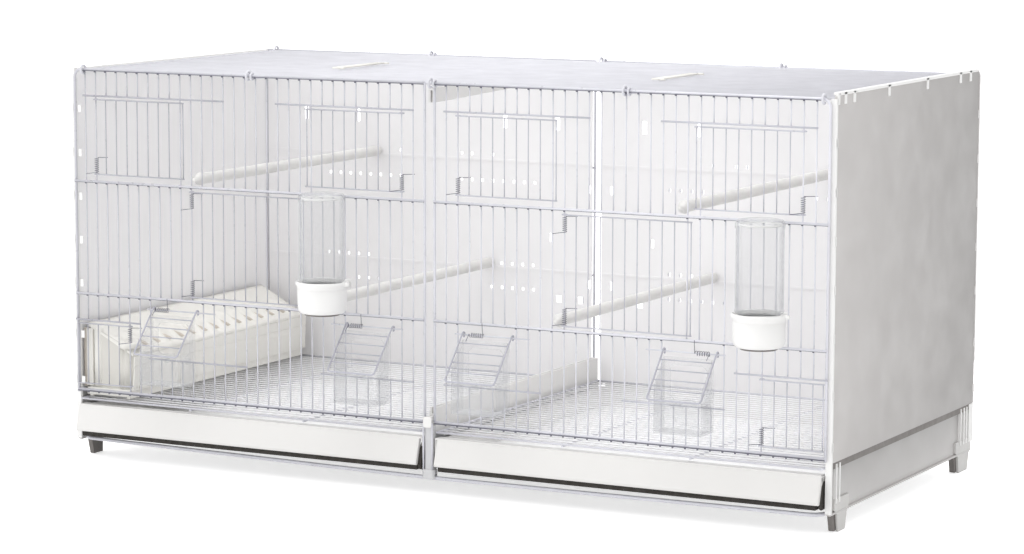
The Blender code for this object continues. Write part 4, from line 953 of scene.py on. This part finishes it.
for side, way in SIDES.items():
    name = f"side_{side}"
    corner, top = PANELS[side]
    front, back, high = PANEL_FRONT + EDGE, PANEL_BACK - EDGE, top - EDGE
    outline = [(front, SKIRT_TOP), (back, SKIRT_TOP)]
    outline += arc((back - corner, high - corner), corner, 0, 90, 6)
    outline += arc((front + corner, high - corner), corner, 90, 180, 6)
    # The sheet's darker colour, fading toward the back, is painted shade.
    sheet = bmesh.new()
    add_prism(sheet, outline, 0, way * 0.447, way * 0.4492, 0.0003)
    piece(f"{name}_sheet", sheet, SIDE_PAINTED_SHADE, f"side_panel_{side}")

    # The skirt's darker colour, fading toward its top, is painted shade.
    skirt = bmesh.new()
    side_box(skirt, way, (0.444, 0.4462), (front, 0.21), (0.0205, 0.0735), 0)
    side_box(skirt, way, (0.4445, 0.449), (PANEL_FRONT + 0.0015, 0.211), (0.0195, 0.0214), 0.0003)
    piece(f"{name}_skirt", skirt, SKIRT_PAINTED_SHADE)

    lining = bmesh.new()
    inside = (PANEL_FRONT + 0.003, 0.213)
    side_box(lining, way, (0.4464, 0.4469), inside, (0.074, top - 0.0035), 0)
    piece(f"{name}_lining", lining, BACK)

    rim = bmesh.new()
    side_box(rim, way, RIM_X, (-0.1975 + corner, 0.2155 - corner), (top - 0.003, top))
    side_box(rim, way, RIM_X, (PANEL_FRONT, PANEL_FRONT + 0.0032), (0.0215, top - corner))
    side_box(rim, way, RIM_X, (0.2138, PANEL_BACK), (0.118, top - corner))
    for y in TAB_Y:
        tab = around(y, TAB_HALF), (top - 0.012, top - 0.0004)
        side_box(rim, way, (0.448, PANEL_X), *tab)
    for z in CLIP_Z:
        side_box(rim, way, CLIP_X, (-0.1984, -0.1935), around(z, CLIP_HALF))
        if side == "left":
            side_box(rim, way, INNER_CLIP_X, (-0.203, -0.2018), around(z, 0.004))
        side_box(rim, way, CLIP_X, (0.212, 0.2164), around(z, CLIP_HALF))
    feet = bmesh.new()
    # Painted shade: a dark strip under the ledge and dark blocks inside the feet.
    shade = bmesh.new()
    side_box(shade, way, (0.445, 0.4484), (PANEL_FRONT + 0.004, 0.212), (0.0655, 0.0722), 0)
    for front, back, ribs in FEET:
        foot = [
            (front - 0.003, 0.0345), (front - 0.003, 0.023), (front + 0.004, 0.018),
            (front + 0.007, 0.0), (back - 0.009, 0.0), (back - 0.004, 0.018),
            (back + 0.001, 0.023), (back + 0.001, 0.0345),
        ]
        add_prism(feet, foot, 0, way * 0.446, way * 0.4486)
        block = [
            (front - 0.003, 0.033), (front - 0.003, 0.02), (front + 0.002, 0.001),
            (back - 0.015, 0.001), (back - 0.014, 0.033),
        ]
        add_prism(shade, block, 0, way * 0.44, way * 0.4458, 0.0006)
        for y in ribs:
            side_box(rim, way, (0.4455, 0.4494), (y, y + 0.003), (0.03, 0.07))
    side_box(rim, way, (0.4455, 0.449), (0.203, PANEL_BACK - 0.0006), (0.03, 0.0716))
    piece(f"{name}_rim", rim, RIM)
    piece(f"{name}_feet", feet, FOOT)
    piece(f"{name}_shade", shade, PAINTED_SHADE)
print("tabs on each rim:", len(TAB_Y), "clips:", len(CLIP_Z))

# %% [markdown]
# ## Perches
#
# Each perch is a round bar that is pushed between two front wires. Its front end has a
# collar, and a narrow nose that the wires grip. One turned profile makes all of it.

# %% Perches
PERCHES = (
    ("perch_upper_left", -0.2869, 0.3176),
    ("perch_upper_right", 0.2868, 0.3176),
    ("perch_lower_left", -0.1361, 0.1936),
    ("perch_lower_right", 0.1486, 0.1936),
)
PERCH_PROFILE = (
    (0.0, -0.205), (0.002, -0.205), (0.0028, -0.199), (0.0045, -0.1975), (0.0066, -0.1955),
    (0.0069, -0.1935), (0.0066, -0.191), (0.0059, -0.1895), (0.0059, 0.1885),
    (0.005, 0.1905), (0.0, 0.1905),
)
for name, x, z in PERCHES:
    bm = bmesh.new()
    add_turned(bm, (x, 0, z), 1, PERCH_PROFILE, 24)
    piece(f"{name}_bar", bm, PERCH, name, slot="perch_plastic")
print("perches:", len(PERCHES))

# %% [markdown]
# ## Drinkers
#
# A drinker is a clear bottle upside down in a white cup. Both are round, so each is a profile
# turned about an upright axis. The bottle has shallow flutes and a scalloped shoulder, and a pale
# ring at its foot is a painted highlight. Two small hooks hold the cup on the front, and a dark
# disc under it is painted shade, since no light gets there.

# %% Drinkers
DRINKER_X = {"left": -0.1105, "right": 0.386}
DRINKER_Y = -0.2329
BOTTLE_PROFILE = (
    (0.0, 0.3145), (0.019, 0.3145), (0.0228, 0.3138), (0.0247, 0.3112), (0.0249, 0.307),
    (0.024, 0.305), (0.024, 0.2275), (0.0246, 0.2245), (0.024, 0.2232), (0.0213, 0.2225),
    (0.0213, 0.201), (0.0205, 0.201), (0.0205, 0.2236), (0.0232, 0.225), (0.0232, 0.306),
    (0.0222, 0.3125), (0.0, 0.3132),
)
GLINT_RING = (
    (0.0196, 0.3084), (0.0218, 0.3084), (0.0216, 0.3104), (0.0196, 0.3104), (0.0196, 0.3084),
)
CUP_PROFILE = (
    (0.0, 0.1884), (0.019, 0.1884), (0.0228, 0.1892), (0.025, 0.1915), (0.0257, 0.195),
    (0.0261, 0.214), (0.0256, 0.2146), (0.0262, 0.2155), (0.0264, 0.217), (0.0276, 0.2185),
    (0.0279, 0.2205), (0.0276, 0.2222), (0.0268, 0.2226), (0.0256, 0.2215), (0.025, 0.218),
    (0.0246, 0.196), (0.0225, 0.1905), (0.0, 0.19),
)


def disc(radius, low, high):
    """The profile of a flat disc or a plain column."""
    return ((0.0, low), (radius, low), (radius, high), (0.0, high))


def scallops(angle, height):
    """Deeper lobes on the shoulder than along the bottle."""
    depth = 0.022 if height > 0.306 else 0.006
    return depth * (math.cos(10 * angle) - 1.0) / 2


NECK_RING = (
    (0.0217, 0.2178), (0.0249, 0.2178), (0.0249, 0.2196), (0.0217, 0.2196), (0.0217, 0.2178),
)
STOPPER = disc(0.02, 0.215, 0.217)
KNOB = ((0.0, 0.0255), (0.002, 0.0255), (0.0022, 0.03), (0.0018, 0.0322), (0.0, 0.0325))
KNOB_Z = 0.2202
SHADE_DISC = ((0.0, 0.1868), (0.0185, 0.1868), (0.0195, 0.1883), (0.0, 0.1883))
HOOKS = {"left": (-0.01, 0.012), "right": (-0.006, 0.008)}
HOOK_HALF = 0.0028

for side, x in DRINKER_X.items():
    foot = (x, DRINKER_Y, 0)
    name = f"drinker_bottle_{side}"
    bottle = bmesh.new()
    add_turned(bottle, foot, 2, BOTTLE_PROFILE, 80, scallops)
    piece(f"{name}_clear", bottle, CLEAR, name, slot="clear_plastic", body=name)
    # Painted highlight: a pale ring at the bottle's foot.
    ring = bmesh.new()
    add_turned(ring, foot, 2, GLINT_RING, 80, scallops)
    piece(f"{name}_ring", ring, RIM, slot="clear_plastic", body=name)
    cup = bmesh.new()
    add_turned(cup, foot, 2, CUP_PROFILE, 48)
    for offset in HOOKS[side]:
        low, high = x + offset - HOOK_HALF, x + offset + HOOK_HALF
        add_box(cup, (low, -0.208, 0.2186), (high, -0.199, 0.221))
        add_box(cup, (low, -0.1988, 0.2124), (high, -0.1972, 0.221))
    add_turned(cup, foot, 2, NECK_RING, 40)
    add_turned(cup, foot, 2, STOPPER, 32)
    add_turned(cup, (x, DRINKER_Y, KNOB_Z), 0, KNOB, 12)
    name = f"drinker_cup_{side}"
    piece(f"{name}_white", cup, RIM, name)
    # Painted shade: a dark disc under the cup.
    under = bmesh.new()
    add_turned(under, foot, 2, SHADE_DISC, 32)
    piece(f"{name}_under", under, PAINTED_SHADE)
print("drinkers:", len(DRINKER_X))

# %% [markdown]
# ## Seed trough
#
# A long cream trough lies along the left side, behind its own door. Its body is one outline pulled
# along the side, closed by a plate at the back. The front end has a fluted column at the corner and
# a slim one by the wall, with a set-back wall between; the set-back wall and the column's body get
# a darker cream than the cap, as painted shade. A brown strip in the gap by the cage's wall is a
# painted shadow. The cover slants down from the cage's side and has a row of soft ribs with a slot
# between each two, where the birds feed. It is a grid of points raised by a sine wave. Each slot is
# a closed brown disc, painted shade for the opening.

# %% Seed trough
# the trough's edge by the cage's wall, its long edge, and its two ends
WALL_X, LONG_X = -0.4405, -0.3787
NEAR_Y, FAR_Y = -0.1915, 0.175
COVER_LOW, COVER_HIGH = 0.1165, 0.1485
COVER_INSET = 0.002
RIBS = 15
RIB_HEIGHT = 0.005
COLUMN = (LONG_X - 0.013, NEAR_Y + 0.013, 0)
SLIM = (-0.4268, NEAR_Y + 0.0055, 0)


def cover_height(x):
    """The slant of the cover, from the wall down to the long side."""
    fall = (LONG_X - x) / (LONG_X - WALL_X)
    return COVER_LOW + (COVER_HIGH - COVER_LOW) * fall


def cover_y(share):
    """A place along the cover, from 0 at its front end to 1 at its back end."""
    length = FAR_Y - NEAR_Y - 2 * COVER_INSET
    return NEAR_Y + COVER_INSET + length * share


def flutes(angle, height):
    """Shallow grooves round the corner column."""
    return -0.11 * max(0.0, math.cos(8 * angle))


# Painted shade: the set-back wall and the column's body get a darker cream than the rest.
recess = bmesh.new()
near = [
    (LONG_X - 0.018, 0.08), (LONG_X - 0.018, 0.13), (-0.424, 0.142),
    (-0.424, 0.08),
]
add_prism(recess, near, 1, NEAR_Y + 0.003, NEAR_Y + 0.005, 0.0005)
add_turned(recess, COLUMN, 2, disc(0.0118, 0.0795, 0.1239), 64, flutes)
piece("seed_trough_recess", recess, PAINTED_RECESS_SHADE, slot="cream_plastic")

trough = bmesh.new()
wall = [
    (LONG_X - 0.002, 0.0775), (LONG_X, 0.099), (LONG_X - 0.0004, 0.105),
    (LONG_X + 0.0002, 0.1056), (LONG_X + 0.0002, 0.116),
    (LONG_X - 0.0016, 0.116), (LONG_X - 0.0016, 0.099),
    (LONG_X - 0.004, 0.08), (WALL_X + 0.002, 0.08),
    (WALL_X + 0.002, 0.0775),
]
add_prism(trough, wall, 1, NEAR_Y + 0.004, FAR_Y, 0.0004)
far = [
    (LONG_X - 0.001, 0.0775), (LONG_X - 0.001, 0.115), (WALL_X, 0.148),
    (WALL_X, 0.0775),
]
add_prism(trough, far, 1, FAR_Y - 0.0022, FAR_Y, 0.0005)
cap = ((0.0, 0.124), (0.0126, 0.124), (0.0128, 0.129), (0.0118, 0.13), (0.0, 0.1302))
add_turned(trough, COLUMN, 2, cap, 48)
add_box(trough, (-0.44, NEAR_Y + 0.0005, 0.0702), (-0.385, NEAR_Y + 0.004, 0.0785))
slim = ((0.0, 0.08), (0.0052, 0.08), (0.0052, 0.1435), (0.0, 0.145))
add_turned(trough, SLIM, 2, slim, 24)
add_box(trough, (-0.4404, NEAR_Y + 0.0005, 0.08), (-0.4322, NEAR_Y + 0.006, 0.144))
for x in (WALL_X + 0.006, LONG_X - 0.007):
    runner = (x - 0.002, NEAR_Y + 0.001, 0.0686), (x + 0.002, FAR_Y - 0.001, 0.079)
    add_box(trough, *runner, 0)
piece("seed_trough_body", trough, CREAM, "seed_trough", slot="cream_plastic")

# Painted shadow: a brown strip in the gap between the trough and the cage's wall.
gap = bmesh.new()
add_box(gap, (-0.4436, NEAR_Y + 0.001, 0.079), (-0.4404, NEAR_Y + 0.005, 0.144), 0)
piece("seed_trough_gap", gap, PAINTED_SLOT_SHADE, slot="cream_plastic")

# %% The trough's cover and its slots
ACROSS, ALONG = 14, RIBS * 12
COVER_LEVELS = (0.0018, -0.0006)
SLOT_SIDES = 16

# Painted shade: each slot is a closed brown disc on the cover.
slots = bmesh.new()
for j in range(RIBS - 1):
    y = cover_y((j + 0.75) / RIBS)
    lower, upper = [], []
    for a, b in arc((0, 0), 1.0, 0, 360, SLOT_SIDES)[:-1]:
        x = LONG_X - 0.019 + 0.008 * a
        place = Vector((x, y + 0.003 * b + 0.006 * a, cover_height(x) - 0.0014))
        lower.append(slots.verts.new(place))
        upper.append(slots.verts.new(place + Vector((0, 0, 0.0022))))
    for k in range(SLOT_SIDES):
        m = (k + 1) % SLOT_SIDES
        slots.faces.new((lower[k], lower[m], upper[m], upper[k]))
    slots.faces.new(lower[::-1])
    slots.faces.new(upper)
piece("seed_trough_slots", slots, PAINTED_SLOT_SHADE, slot="cream_plastic")

cover = bmesh.new()
grid = []
for level in COVER_LEVELS:
    sheet = []
    for j in range(ALONG + 1):
        row = []
        for k in range(ACROSS + 1):
            share = k / ACROSS
            x = WALL_X + 0.0008 + (LONG_X - WALL_X - 0.0016) * share
            bump = math.sin(math.pi * min(max((share - 0.42) / 0.5, 0.0), 1.0))
            wave = RIB_HEIGHT * bump * math.sin(2 * math.pi * RIBS * j / ALONG)
            row.append(cover.verts.new((x, cover_y(j / ALONG), cover_height(x) + level + wave)))
        sheet.append(row)
    grid.append(sheet)
top, bottom = grid
for j in range(ALONG):
    for k in range(ACROSS):
        corners = (j, k), (j, k + 1), (j + 1, k + 1), (j + 1, k)
        cover.faces.new([top[m][n] for m, n in corners]).smooth = True
        cover.faces.new([bottom[m][n] for m, n in reversed(corners)]).smooth = True
edge = [(0, k) for k in range(ACROSS)] + [(j, ACROSS) for j in range(ALONG)]
edge += [(ALONG, k) for k in range(ACROSS, 0, -1)] + [(j, 0) for j in range(ALONG, 0, -1)]
for (j, k), (m, n) in zip(edge, edge[1:] + edge[:1]):
    cover.faces.new((top[m][n], top[j][k], bottom[j][k], bottom[m][n]))
bmesh.ops.recalc_face_normals(cover, faces=cover.faces)
piece("seed_trough_ribs", cover, CREAM, "seed_trough_cover", slot="cream_plastic")
print("ribs:", RIBS, "slots:", RIBS - 1)

# %% [markdown]
# ## Trays and foot bar
#
# The trays lean out at the front, where a hand pulls them. A tray is its front's outline pulled
# from end to end, a thin flange on top, walls and a bottom painted paler than the rest as painted
# light. The space under the front lies in shadow, so a black piece paints that shadow, and a black
# plate paints the shade on the tray's right end. A strip closes the gap behind each tray, and a
# thin bar, which sags a little, runs low along the front.

# %% Trays
TRAY_X = (0.007, 0.442)
TRAY_FRONT = (
    (-0.1996, 0.0605), (-0.203, 0.0605), (-0.204, 0.059), (-0.2116, 0.0345),
    (-0.2112, 0.0322), (-0.2096, 0.0315), (-0.207, 0.0322), (-0.1996, 0.056),
)
END_SHADE_OUTLINE = (
    (-0.208, 0.032), (-0.203, 0.05), (-0.199, 0.0545), (-0.19, 0.0545),
    (-0.19, 0.0262), (-0.203, 0.0262), (-0.2065, 0.028),
)
# how far the painted shade on the tray's right end reaches in
END_SHADE_REACH = {"left": 0.0036, "right": 0.001}
TRAY_INSET = 0.0035
WALL = 0.0018
WALL_TOP = 0.0585
TRAY_LOW = 0.0335
TRAY_BACK = 0.19

for side, way in SIDES.items():
    name = f"tray_{side}"
    low, high = sorted(way * x for x in TRAY_X)
    tray = bmesh.new()
    ends = (low, high - TRAY_INSET) if side == "left" else (low + TRAY_INSET, high)
    add_prism(tray, TRAY_FRONT, 0, *ends, 0.0016)
    add_box(tray, (low + 0.001, -0.2034, 0.0592), (high - 0.001, -0.1925, 0.061), 0.0003)
    for x in (low, high - WALL):
        add_box(tray, (x, -0.202, TRAY_LOW), (x + WALL, TRAY_BACK, WALL_TOP), 0)
    add_box(tray, (low, TRAY_BACK - WALL, TRAY_LOW), (high, TRAY_BACK, WALL_TOP), 0)
    piece(f"{name}_white", tray, TRAY, name, body=name)
    # Painted light: the tray's inside is a paler copy of its plastic.
    inside = bmesh.new()
    corners = (low + 0.0019, -0.2, TRAY_LOW), (high - 0.0019, 0.1881, TRAY_LOW + WALL)
    add_box(inside, *corners, 0)
    piece(f"{name}_inside", inside, TRAY_INSIDE_LIT, body=name)
    # Painted shadow: a black piece under the tray's front and a black plate on its right end.
    under = bmesh.new()
    add_box(under, (low + 0.006, -0.2072, 0.0262), (high - 0.0045, -0.17, 0.0322), 0.0006)
    add_prism(under, END_SHADE_OUTLINE, 0, high - END_SHADE_REACH[side], high + 0.0002, 0)
    piece(f"{name}_under", under, PAINTED_TRAY_SHADOW, body=name)
print("tray width:", round((TRAY_X[1] - TRAY_X[0]) * 1000), "mm")

# %% Closing strips behind the trays
strips = bmesh.new()
for way in SIDES.values():
    add_box(strips, (way * 0.0126, 0.1924, 0.056), (way * 0.44, 0.1944, 0.0648), 0)
piece("tray_closing_strips", strips, WHITE)
print("strips: 2")

# %% Centre post wires and foot bar
POST_WIRE_X = 0.0052
BAR_END = (0.4418, -0.18)
BEND_AT = (0.425, -0.184)
BEND_RADIUS = 0.016
FOOT_BAR = 0.0021

runs = [line_z(x, -0.2046, 0.0272, 0.0765, 0.0011) for x in (-POST_WIRE_X, POST_WIRE_X)]
wires("centre_post_wires", runs, FRONT_WIRE)
bend = arc((0, 0), BEND_RADIUS, 180, 270, 8)
path = [(-BAR_END[0], BAR_END[1], 0.0228)]
path += [(-BEND_AT[0] + a, BEND_AT[1] + b, 0.0227) for a, b in bend]
path += [(-0.12, FRONT_Y, 0.0188), (0.0, FRONT_Y, 0.0179), (0.2, FRONT_Y, 0.0186)]
path += [(BEND_AT[0] - a, BEND_AT[1] + b, 0.0202) for a, b in reversed(bend)]
path += [(*BAR_END, 0.0212)]
wires("foot_bar_wire", [(path, FOOT_BAR)], FRONT_WIRE, "foot_bar")
print("foot bar points:", len(path))

# %% [markdown]
# ## Plastic parts kept from the model
#
# The back panels, feeder cups, guides and centre post already have the right shape,
# so they keep their solids and only get their finish.

# %% Finishes for the plastic parts
FINISHES = {"back_panel_left": BACK, "back_panel_right": BACK, "centre_post": POST}

for node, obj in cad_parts.items():
    material = FINISHES.get(node, CLEAR if node.startswith("feeder_cup") else WHITE)
    for slot in obj.material_slots:
        slot.material = material
print("finished nodes:", len(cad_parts))

# %% [markdown]
# ## The floor
#
# Ground that only shows white would lose the cage's shadow, so it is a very light
# surface instead, with a glow for the camera that grows to full white far from the cage.
# It is large enough to reach past the edges of the view.

# %% Floor
FLOOR_GLOW = (0.62, 1.0)
GLOW_REACH = (0.7, 3.0)
FLOOR_SIZE = 14.0
FLOOR_DROP = 0.0003


def floor_material():
    """A white ground that also glows for the camera, more so the farther it lies."""
    material = bpy.data.materials.new("floor_white")
    material.use_nodes = True
    tree = material.node_tree
    shader = tree.nodes["Principled BSDF"]
    set_inputs(shader, Base_Color=(0.93, 0.93, 0.93, 1), Roughness=0.9, Specular_IOR_Level=0.0)
    set_inputs(shader, Emission_Color=WHITE_LIGHT)
    place = add_node(tree, "ShaderNodeTexCoord").outputs["Object"]
    far = add_node(tree, "ShaderNodeVectorMath", {0: place}, "LENGTH").outputs["Value"]
    glow = add_node(tree, "ShaderNodeMapRange", {"Value": far})
    set_inputs(glow, From_Min=GLOW_REACH[0], From_Max=GLOW_REACH[1])
    set_inputs(glow, To_Min=FLOOR_GLOW[0], To_Max=FLOOR_GLOW[1])
    strength = combine(tree, "MULTIPLY", seen_rays(tree), glow.outputs["Result"])
    feed(tree, shader, {"Emission Strength": strength})
    return material


def make_floor():
    """The ground, a wide square just under the feet."""
    bm = bmesh.new()
    bmesh.ops.create_grid(bm, x_segments=1, y_segments=1, size=FLOOR_SIZE)
    mesh = bpy.data.meshes.new("floor")
    bm.to_mesh(mesh)
    bm.free()
    mesh.materials.append(floor_material())
    obj = bpy.data.objects.new("floor", mesh)
    obj.location.z = -FLOOR_DROP
    scene.collection.objects.link(obj)


make_floor()
print("floor glow near and far:", FLOOR_GLOW)
